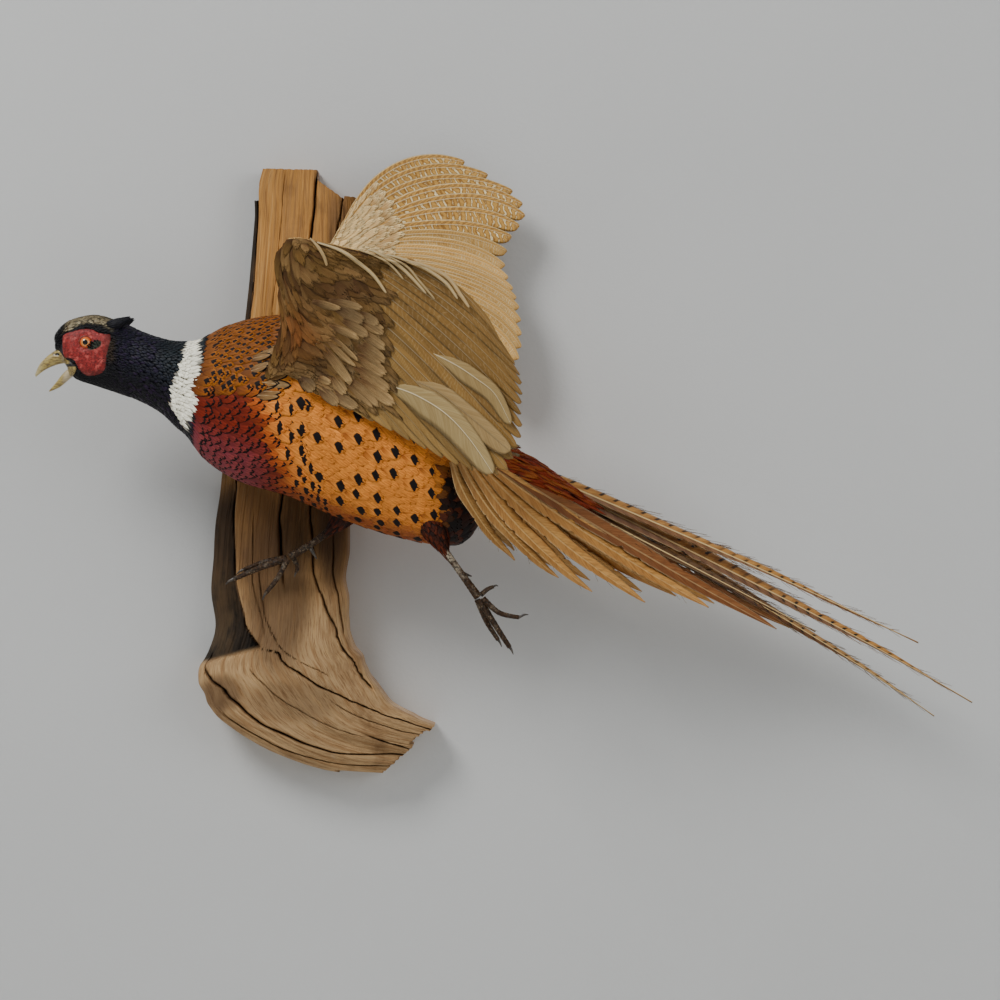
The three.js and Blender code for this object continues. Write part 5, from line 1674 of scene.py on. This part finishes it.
class PHEASANT_OT_tail(Piece, bpy.types.Operator):
    """Two fans and the long central feathers, with their coverts"""

    bl_idname = "pheasant.tail"
    bl_label = "Tail"

    def execute(self, context):
        _, colours = settings()
        material = tail_material("Tail feathers", colours)
        tan = np.array(colours.tail)
        for side, fan in FAN.items():
            count = len(fan["feathers"])
            first, last = np.array(fan["base"])
            places = [
                tail_feather(lerp(first, last, k / (count - 1)), tip, bow, fan["side"],
                             math.radians(38), k, 0.45)
                for k, (tip, _, bow) in enumerate(fan["feathers"])]
            widths = [width * MM for _, width, _ in fan["feathers"]]
            tint = lerp(np.array((0.44, 0.25, 0.08)), tan, np.arange(count)[:, None] / count)
            tint[-1] = (0.25, 0.095, 0.027)
            mark = np.tile((26.0, 0.12, 0.3), (count, 1))
            self.blades(f"tail_fan_{side}", places, widths, (3, 0.7), tint,
                        tint * (0.8, 0.74, 0.66), mark, material, 81, f"tail_{side}_fan")
        places = [tail_feather(base, tip, bow, -1, math.radians(58), 2.2 - k, 0.62)
                  for k, (base, tip, _, bow) in enumerate(CENTRAL)]
        widths = [width * MM for _, _, width, _ in CENTRAL]
        tint = np.array((tan * 0.8, tan * 0.9, (0.46, 0.27, 0.10), (0.16, 0.09, 0.045)))
        tip = np.array(((0.26, 0.12, 0.045), (0.25, 0.12, 0.055), (0.15, 0.062, 0.022),
                        (0.13, 0.058, 0.022)))
        mark = np.array(((34, 0.9, 1), (37, 1.0, 1), (36, 0.95, 1), (26, 0.5, 1)))
        self.blades("tail_central_feathers", places, widths, (1.6, 1.3), tint, tip, mark,
                    material, 83, "tail_central")
        self.coverts(colours)
        return {"FINISHED"}

    def blades(self, name, places, widths, taper, tint, tip, mark, material, seed, node):
        """Long feathers with a raised shaft and splits in their edges."""
        rng = np.random.default_rng(seed)
        vane = long_vane(110, 1, 0.75, 0.45, 0.18)
        chance = rng.random(len(places))
        points = []
        for place, width, luck in zip(places, widths, chance):
            half = np.maximum(0.5 * width * tail_width(vane.t, taper), 0.00045)
            quill = 0.0011 * lerp(1.0, 0.3, vane.t)
            shaft = np.minimum(quill, half)
            y = np.sign(vane.u) * shaft + np.where(vane.on_shaft, 0,
                                                   vane.u * (half - shaft))
            notch = np.zeros(len(y))
            for _ in range(9):
                at, edge = rng.uniform(0.2, 0.95), rng.choice((-1, 1))
                deep = rng.uniform(0.15, 0.5) * (vane.u * edge > 0.9)
                notch = np.maximum(notch, deep * ease(np.abs(vane.t - at), 0.012, 0))
            y = y * (1 - notch)
            ridge = np.where(vane.u == 0, quill * 0.9, 0)
            wave = 0.0008 * np.sin(vane.t * 14 + 9 * luck) * np.abs(vane.u)
            height = -0.12 * np.abs(y) + wave + vane.face * (0.00022 + ridge)
            points.append(place(vane.t, y, height))
        self.outward(feathers(name, vane, np.array(points), None, tint, tip, mark, chance,
                              material, "tail_feathers", node))
        self.fringe(f"{name}_barbs", places, widths, taper, tint, rng)

    def outward(self, piece):
        """Turns the faces of a piece out, where its feathers were built mirrored."""
        make_active(piece)
        in_edit_mode(turn_outward)

    def fringe(self, name, places, widths, taper, tint, rng):
        """Loose barbs along the edges, fine as hair."""
        vane = Vane((0, 0.5, 1), (-1, 1), (0,))
        points, colour, roots = [], [], []
        for k, place in enumerate(places):
            count = 130 if name.startswith("tail_central") else 14
            t0 = rng.uniform(0.12, 0.93, count)
            edge = rng.choice((-1.0, 1.0), count)
            reach = rng.uniform(0.003, 0.009, count) * lerp(1, 0.6, t0)
            slant = rng.uniform(0.02, 0.045, count)
            half = np.maximum(0.5 * widths[k] * tail_width(t0, taper), 0.0004)
            t = t0[:, None] + slant[:, None] * vane.t
            y = edge[:, None] * (half[:, None] * 0.86 + reach[:, None] * vane.t ** 0.8)
            y = y + 0.00022 * vane.u * (1 - 0.8 * vane.t)
            height = -0.1 * np.abs(y) + 0.00024 * vane.face
            points.append(place(t, y, height))
            colour.append(np.repeat(tint[k][None] * 0.42, count, 0))
            roots.append(np.stack((t0, np.full(count, (k + 0.5) / len(places))
                                   + edge * 0.02), -1))
        points, colour, roots = (np.concatenate(k) for k in (points, colour, roots))
        self.outward(feathers(name, vane, points, roots, colour, colour, None,
                              rng.random(len(points)), bpy.data.materials["Body feathers"],
                              "tail_feathers"))

    def coverts(self, colours):
        """Rust-red feathers above and dark ones below the root of the tail."""
        path = [(172, -113.5, -186, 32), (194, -113, -192, 24), (220, -113, -200, 19),
                (250, -112, -214, 12), (290, -108, -234, 5), (330, -104, -254, 3)]
        surface = limb_surface(path)
        s, a, _, _, rng = coat_roots(0.0, 3.3, 0.0038, 0.0038, 91, surface)
        line = smooth(np.array(path)[:, :3] * MM, s)
        rise = unit(surface(s, a) - line)[:, 2]
        chance = rng.random(len(s))
        length = rng.uniform(0.018, 0.030, len(s))
        low = ease(rise, -0.1, -0.5)[:, None]
        tint = lerp(np.array(colours.rust), np.array((0.012, 0.005, 0.002)), low)
        tint = blend_colours(
            tint * (1.15, 0.82, 0.4), ((0.32, 0.12, 0.015), ease(chance, 0.7, 1) * 0.6),
            ((0.03, 0.01, 0.004), ease(chance, 0.3, 0.1) * 0.7))
        vane = Vane((0, 0.3, 0.6, 0.85, 1), NARROW, (0,), 0.12)
        points = lay_vanes(vane, surface, s, a, length, length * 0.14,
                           rng.normal(0, 0.10, len(s)), 0.0015, 0.0001 + 0.0006 * chance,
                           0.0002, chance, side=-1)
        feathers("tail_coverts", vane, points, bake_roots(s, a), tint, tint * 1.2, None,
                 chance, bpy.data.materials["Body feathers"], "rump_feathers")


# ---------------------------------------------------------------------- legs
def scaled_limb(path, plates):
    """A limb's surface with a row of raised plates along its front."""
    smooth_limb, rows = limb_surface(path), limb_rows(path)

    def surface(s, a):
        s, a = np.broadcast_arrays(s, a)
        centre = smooth(rows, s)[..., :3]
        step = np.mod(s * plates / (len(path) - 1), 1.0)
        swell = 1.0 + 0.10 * (1 - step) * ease(step, 0.0, 0.12) - 0.03
        return centre + (smooth_limb(s, a) - centre) * swell[..., None]
    return surface


class PHEASANT_OT_legs(Piece, bpy.types.Operator):
    """Scaly shanks and toes, claws and spurs"""

    bl_idname = "pheasant.legs"
    bl_label = "Legs"

    def execute(self, context):
        _, colours = settings()
        scales, horn = self.scale_material(colours), self.claw_material()
        for side, leg in LEGS.items():
            self.limb(f"shank_{side}", leg["tarsus"], 17, 150, 28, scales, "leg_skin",
                      f"tarsus_{side}")
            for toe, path in leg["toes"].items():
                part = f"{toe}_{side}"
                self.limb(f"toe_{part}_scales", path[:-1], 11, 90, 22, scales, "leg_skin",
                          f"toe_{part}")
                self.limb(f"claw_{part}_horn", self.claw(path), 0, 26, 18, horn,
                          "claw_horn", f"claw_{part}")
            first, last = leg["spur"]
            middle = [(p + q) / 2 for p, q in zip(first, last)]
            self.limb(f"spur_{side}_horn", [first, middle, last], 0, 24, 20, horn,
                      "claw_horn", f"spur_{side}")
        return {"FINISHED"}

    def limb(self, name, path, plates, rows, sides, material, slot, node):
        surface = scaled_limb(path, plates) if plates else limb_surface(path)
        s = np.linspace(0, len(path) - 1, rows)
        piece = mesh_object(name, *tube(surface, s, sides))
        angle = np.tile(np.linspace(0, 1, sides, endpoint=False), rows)
        add_map(piece.data, "Scales", np.stack((np.repeat(s, sides), angle), -1))
        finish(piece, material, slot, node)

    def claw(self, path):
        """A curved claw from the toe's end, drooping to its point."""
        end, radius, tip = np.array(path[-2][:3]), path[-2][3], np.array(path[-1])
        along = tip - end
        middle = end + along * 0.55 + (0, 0, 0.9)
        return [(*(end - along * 0.1), radius * 0.72), (*middle, radius * 0.5), (*tip, 0.35)]

    def scale_material(self, colours):
        g = new_material("Leg scales", Roughness=0.4, Specular_IOR_Level=0.2)
        cells, slow = g.cells(g.place(), 560.0), g.noise(g.place(), 160.0)
        _, y, z = g.split(g.place())
        colour = g.mix(g.ease(slow, 0.5, 0.7), colours.leg, (0.11, 0.08, 0.05))
        # Pale centres of the scales, painted partly as paler scutes and partly as glints.
        centre = g.ease(cells, 0.22, 0.05, 0.0, 0.8) * g.ease(slow, 0.40, 0.56)
        colour = g.mix(centre, colour, (0.60, 0.46, 0.28))
        # Painted highlight on the top of the near shank.
        top = g.ease(z, -0.294, -0.266, 0.0, 0.75) * g.ease(y, -0.12, -0.125)
        colour = g.mix(top * g.ease(slow, 0.35, 0.6), colour, (0.42, 0.35, 0.25))
        colour = g.mix(g.ease(cells, 0.5, 0.75) * 0.8, colour, (0.008, 0.005, 0.003))
        return g.paint(g.aged(colour, 90.0, 0.04), 1.0 - cells, 0.8, 0.0009)

    def claw_material(self):
        g = new_material("Claws", Roughness=0.3, Coat_Weight=0.2)
        grain = g.noise(g.place(), 500.0)
        colour = g.mix(g.ease(grain, 0.35, 0.7), (0.022, 0.016, 0.012), (0.09, 0.07, 0.05))
        return g.paint(colour, grain, 0.2, 0.0003)


# ----------------------------------------------------------------- driftwood
# Cracks of the driftwood: station and share of the width along each, half width, depth.
WOOD_CRACKS = [
    (((0, 0.05), (2.4, 0.055), (4.0, 0.13), (4.5, 0.154), (5.35, 0.196), (6, 0.255),
      (6.65, 0.40)), 0.010, 1.0),
    (((0, 0.622), (1.3, 0.572), (3, 0.52), (4.5, 0.49), (5.5, 0.55)), 0.013, 1.0),
    (((0.4, 0.90), (1.25, 0.80), (2.6, 0.74), (4, 0.70), (4.5, 0.72), (5.3, 0.77),
      (6.6, 0.93), (8, 0.95), (9.2, 0.97)), 0.009, 0.8),
    (((6.65, 0.40), (6.9, 0.53), (7.4, 0.57), (8.8, 0.73), (10, 0.87), (11, 0.91),
      (12, 0.92)), 0.008, 1.0),
    (((10.7, 0.60), (11.4, 0.57), (12, 0.53)), 0.011, 0.9),
    (((6.8, 0.04), (7.7, 0.14), (8.5, 0.18), (9.2, 0.19), (9.8, 0.237), (10.7, 0.264),
      (11.6, 0.40), (12, 0.42)), 0.014, 0.9),
    (((8.4, 0.05), (9.4, 0.08), (10.4, 0.10), (11.4, 0.16), (12, 0.2)), 0.008, 0.6),
    (((4.8, 0.89), (5.8, 0.94), (6.8, 0.975)), 0.007, 0.6),
    (((7.2, 0.34), (8.4, 0.42), (9.6, 0.50), (10.6, 0.56)), 0.004, 0.35),
    (((5.1, 0.36), (5.9, 0.40), (6.6, 0.52), (7.4, 0.66), (8.2, 0.78)), 0.004, 0.35),
    (((4.4, 0.30), (5.4, 0.33), (6.3, 0.42)), 0.004, 0.3),
    (((0.2, 0.30), (1.4, 0.27), (3.0, 0.25)), 0.0025, 0.22),
    (((9.2, 0.68), (10.4, 0.76), (12, 0.80)), 0.005, 0.45),
]
# Dark stains of the driftwood, and in the first four the painted shadow of the bird's body and
# far foot: centre x and z, half width, half height, strength.
WOOD_STAINS_AND_SHADOWS = [(-0.030, -0.238, 0.042, 0.058, 0.7), (0.030, -0.222, 0.032, 0.050, 0.65),
               (-0.004, -0.300, 0.034, 0.080, 0.75), (0.045, -0.24, 0.014, 0.070, 0.8),
               (-0.052, -0.388, 0.022, 0.018, 0.7), (0.052, 0.02, 0.013, 0.09, 0.35),
               (0.010, -0.395, 0.05, 0.02, 0.4)]


# The shaded ledge left of the face: stations, and its share of the width at each.
LEDGE = ((3.9, 4.5, 5.35, 6, 6.5, 6.7), (0.12, 0.154, 0.196, 0.255, 0.38, 0.42))
LATH_FEET = np.array((0.75, 0.0, 0.2, 0.0))  # stations missing at each lath's foot
LAST_STATION = len(WOOD) - 1
CRACK_BENDS = ((2.5, 12, 0.014), (11, 14, 0.006))  # bumps a station, seed and sway


def lath_run(across, down):
    """Station of the driftwood, with each lath's own broken head and foot."""
    starts = np.array([0.0] + [line[0] for line, _ in CRACKS] + [1.0])
    lath = np.clip(np.searchsorted(starts, across, side="left") - 1, 0, len(LATHS) - 1)
    share = (across - starts[lath]) / (starts[lath + 1] - starts[lath])
    drops = np.array([d for d, _ in LATHS])[lath] / 52
    jag = (value_noise(across * 40, across * 0, 3) - 0.3) * 0.16
    jag = jag + (value_noise(across * 110, across * 0, 4) - 0.5) * 0.10
    jag = np.maximum(jag, 0)
    head = lerp(drops[:, 0], drops[:, 1], share) + jag * 0.12
    return lerp(head, LAST_STATION - LATH_FEET[lath] - jag, down)


def crack_depth(u, s):
    """How deep the driftwood's cracks are, from 0 to 1."""
    hollow = np.zeros_like(u)
    for line, wide, deep in WOOD_CRACKS:
        stations, shares = np.array(line).T
        centre = np.interp(s, stations, shares)
        for bumps, seed, sway in CRACK_BENDS:
            bend = value_noise(s * bumps, s * 0 + shares[0] * 40, seed) - 0.5
            centre = centre + sway * bend
        wide = wide * lerp(0.45, 1.0, value_noise(s * 6, s * 0 + shares[0] * 90, 15))
        top, foot = stations[0] == 0, stations[-1] == LAST_STATION
        shown = np.ones_like(s)
        if not top:
            shown = shown * ease(s, stations[0] - 0.2, stations[0] + (0.4 if foot else 0.25))
        if not foot:
            shown = shown * ease(s, stations[-1] + 0.2, stations[-1] - (0.4 if top else 0.25))
        hollow = np.maximum(hollow, np.exp(-((u - centre) / wide) ** 2) * shown * deep)
    return hollow


def wood_point(u, down):
    """Points, hollowness, ledge, grain and station of the driftwood's front."""
    s = lath_run(u, down)
    k = smooth(WOOD, s)
    edge = lerp(k[..., :2], k[..., 2:4], u[..., None])
    rim = np.sqrt(np.clip(1 - np.abs(2 * u - 1) ** 6, 0, 1))
    root = ease(s, 5.5, 8)
    flow = u + 0.05 * (value_noise(u * 3, s * 0.6, 7) - 0.5) * root
    relief = (value_noise(flow * 60, s * 0.6, 8) - 0.5) * 0.0011
    relief = relief + (value_noise(flow * 150, s * 1.1, 9) - 0.5) * 0.0007
    relief = relief + (value_noise(flow * 7, s * 0.5, 10) - 0.5) * lerp(0.002, 0.007, root)
    hollow = crack_depth(u, s)
    boundary = np.interp(s, *LEDGE)
    ledge = ease(u, boundary + 0.012, boundary - 0.012) * ease(s, 3.7, 4.4)
    ledge = ledge * ease(s, 6.75 - u * 0.2, 6.6 - u * 0.2)
    strip = ease(u, 0.056, 0.044) * ease(s, 4.4, 3.6)
    depth = k[..., 4] * lerp(0.62, 1, rim) + relief
    depth = depth - hollow * 0.0085 - ledge * 0.017 - strip * 0.010
    wobble = (value_noise(s * 2.2, s * 0 + 5, 13) - 0.5) * 0.004
    x = edge[..., 0] + wobble * np.abs(2 * u - 1)
    points = np.stack((x, -np.maximum(depth, 0.004), edge[..., 1]), -1)
    return points, hollow, np.maximum(ledge, strip), flow, s


class PHEASANT_OT_driftwood(Piece, bpy.types.Operator):
    """Cracked driftwood that the bird is fixed to, and its steel rod"""

    bl_idname = "pheasant.driftwood"
    bl_label = "Driftwood"

    def execute(self, context):
        _, colours = settings()
        deselect()
        bpy.ops.mesh.primitive_grid_add(x_subdivisions=199, y_subdivisions=229, size=1)
        wood = context.active_object
        wood.name = "driftwood_relief"
        mesh = wood.data
        flat = read_points(mesh)
        across, down = np.clip(flat[:, 0] + 0.5, 0.0001, 0.9999), 0.5 - flat[:, 1]
        points, hollow, ledge, flow, s = wood_point(across, down)
        mesh.vertices.foreach_set("co", points.ravel())
        # Painted shade for the material, stored as Tone: the recessed ledge and the bird's
        # shadow on the wood.
        shadow = ease(np.abs(s - 4.3), 1.5, 0.6) * ease(flow, 0.42, 0.56) * 0.55
        add_values(mesh, "Hollow", hollow)
        add_values(mesh, "Tone", np.maximum(ledge, shadow))
        add_values(mesh, "Root", ease(s, 4.2, 6.4))
        add_map(mesh, "Grain", np.stack((flow * 0.12, s * 0.045), -1))
        in_edit_mode(bpy.ops.mesh.extrude_region_move)
        points = read_points(mesh)
        points[[v.select for v in mesh.vertices], 1] = 0
        mesh.vertices.foreach_set("co", points.ravel())
        in_edit_mode(turn_outward)
        bpy.ops.object.shade_smooth_by_angle(angle=math.radians(50))
        finish(wood, self.wood_material(colours), "weathered_wood", "driftwood")
        self.rod()
        return {"FINISHED"}

    def wood_material(self, colours):
        g = new_material("Driftwood", Roughness=0.75, Specular_IOR_Level=0.2)
        place = g.place()
        flow = g.split(g.map("Grain"))
        flow = g.join(flow[0], flow[1], g.split(place)[1] * 0.3)
        fine = g.noise(g.stretch(flow, (1, 0.022, 1)), 1500.0, 4.0, 0.65, 0.4)
        bands = g.noise(g.stretch(flow, (1, 0.06, 1)), 260.0, 3.0, 0.6, 0.4)
        stain = g.noise(g.stretch(place, (1, 1, 0.5)), 26.0, 5.0, 0.65)
        colour = g.mix(g.value("Root", "Fac"), colours.wood, (0.50, 0.32, 0.155))
        # Dark stains, with painted shadow of the bird in the first four ovals.
        stains_and_shadows = [(g.oval(*oval) + (bands * 1.2 - 0.6), 1.2, 0.2, share,
                   (0.10, 0.052, 0.024)) for *oval, share in WOOD_STAINS_AND_SHADOWS]
        colour = g.cover(colour, (bands, 0.45, 0.65, 0.65, (0.31, 0.16, 0.06)),
                         (bands, 0.45, 0.28, 0.4, (0.74, 0.45, 0.18)),
                         (fine, 0.48, 0.68, 0.75, (0.17, 0.075, 0.025)),
                         (stain, 0.52, 0.7, 0.6, (0.17, 0.085, 0.035)),
                         (stain, 0.38, 0.26, 0.35, (0.48, 0.37, 0.26)), *stains_and_shadows)
        painted_recess_shade = g.mix(g.ease(bands, 0.35, 0.65), (0.004, 0.003, 0.002),
                       (0.022, 0.014, 0.008))
        # Tone paints shade: near black in the ledge's recess and in the bird's shadow.
        tone = g.value("Tone", "Fac") * g.ease(stain, 0.7, 0.4, 0.8, 1.0)
        colour = g.aged(g.mix(tone, colour, painted_recess_shade), 9.0, 0.03)
        hollow = g.value("Hollow", "Fac")
        # Darker wood along the cracks, and painted shade deep inside them.
        colour = g.cover(colour, (hollow, 0.10, 0.5, 0.55, (0.14, 0.06, 0.02)),
                         (hollow, 0.45, 0.85, 1, (0.012, 0.006, 0.003)))
        return g.paint(colour, fine + bands * 0.7, 0.55, 0.0012)

    def rod(self):
        g = new_material("Rod steel", Metallic=1.0)
        scratches = g.noise(g.stretch(g.place(), (1, 0.05, 1)), 900.0)
        g.feed(g.sockets["Roughness"], g.ease(scratches, 0.3, 0.7, 0.25, 0.45))
        steel = g.paint(g.mix(scratches, (0.32, 0.33, 0.34), (0.55, 0.56, 0.57)))
        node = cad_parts["mount_rod"]
        node.data.materials.clear()
        node.data.materials.append(steel)


# --------------------------------------------------------------------- stage
class PHEASANT_OT_stage(Piece, bpy.types.Operator):
    """Pale wall and floor, soft lights and the camera"""

    bl_idname = "pheasant.stage"
    bl_label = "Stage"

    def execute(self, context):
        upright = (math.pi / 2, 0, 0)
        self.surface("Wall", (0, 0.0012, 1.4), upright, (0.60, 0.60, 0.585), True)
        self.surface("Floor", (0, -1.0, -1.15), (0, 0, 0), (0.66, 0.65, 0.63), False)
        for name, place, size, power in (
                ("Key", (-1.5, -2.1, 2.0), 1.3, 76), ("Fill", (2.4, -2.3, 0.5), 2.2, 24),
                ("Behind", (0.4, 2.6, 0.8), 2.0, 26)):
            lamp = bpy.data.lights.new(name, "AREA")
            lamp.shape, lamp.size, lamp.energy = "DISK", size, power
            thing = bpy.data.objects.new(name, lamp)
            thing.location = place
            x, y, z = np.subtract((0.15, -0.1, -0.15), place)
            thing.rotation_euler = (math.atan2(math.hypot(x, y), -z), 0,
                                    math.atan2(y, x) - math.pi / 2)
            context.scene.collection.objects.link(thing)
        world = bpy.data.worlds.new("Studio")
        world.use_nodes = True
        sky = world.node_tree.nodes["Background"].inputs
        sky[0].default_value, sky[1].default_value = (0.9, 0.95, 1, 1), 0.42
        context.scene.world = world
        camera = bpy.data.objects.new("Camera", bpy.data.cameras.new("Camera"))
        camera.data.lens, camera.data.sensor_width = 119.34, 36
        camera.data.clip_start, camera.data.clip_end = 0.05, 60
        camera.location = (0.1946, -3.0, -0.2172)
        camera.rotation_euler = upright
        context.scene.collection.objects.link(camera)
        context.scene.camera = camera
        return {"FINISHED"}

    def surface(self, name, place, turn, colour, one_sided):
        deselect()
        bpy.ops.mesh.primitive_plane_add(size=14, location=place, rotation=turn)
        bpy.ops.object.transform_apply()
        plane = bpy.context.active_object
        plane.name = name
        g = new_material(name, Roughness=0.9)
        spots = g.ease(g.noise(g.place(), 3.0, 2.0), 0.35, 0.7, 0.0, 0.35)
        pale = g.mix(spots, colour, [c * 0.93 for c in colour])
        material = g.paint(pale, g.noise(g.place(), 260.0), 0.12, 0.002)
        if one_sided:
            seen = g.term("NewGeometry", "Backfacing") | g.term("LightPath", "Is Shadow Ray")
            shader = Term(g, g.surface.links[0].from_socket)
            clear = g.term("BsdfTransparent", 0)
            g.feed(g.surface, g.term("MixShader", 0, {0: seen, 1: shader, 2: clear}))
        plane.data.materials.append(material)


# --------------------------------------------------------------------- panel
class PHEASANT_PT_panel(bpy.types.Panel):
    """Lists the pieces and their sizes and colours"""

    bl_idname = "PHEASANT_PT_panel"
    bl_label = "Pheasant"
    bl_space_type = "VIEW_3D"
    bl_region_type = "UI"
    bl_category = "Pheasant"

    def draw(self, context):
        for step in STEPS:
            self.layout.operator(step.bl_idname)
        for values in settings():
            box = self.layout.box()
            for key in values.__annotations__:
                box.prop(values, key)


STEPS = (PHEASANT_OT_stage, PHEASANT_OT_skin, PHEASANT_OT_coat, PHEASANT_OT_face,
         PHEASANT_OT_bill, PHEASANT_OT_wings, PHEASANT_OT_tail, PHEASANT_OT_legs,
         PHEASANT_OT_driftwood)
CLASSES = (PheasantSizes, PheasantColours, PHEASANT_PT_panel, *STEPS)


def register():
    for cls in CLASSES:
        bpy.utils.register_class(cls)
    bpy.types.Scene.pheasant_sizes = bpy.props.PointerProperty(type=PheasantSizes)
    bpy.types.Scene.pheasant_colours = bpy.props.PointerProperty(type=PheasantColours)


def unregister():
    del bpy.types.Scene.pheasant_colours
    del bpy.types.Scene.pheasant_sizes
    for cls in reversed(CLASSES):
        bpy.utils.unregister_class(cls)


def main():
    """Builds every piece in order."""
    register()
    for step in STEPS:
        group, name = step.bl_idname.split(".")
        getattr(getattr(bpy.ops, group), name)()


if __name__ == "__main__":
    main()
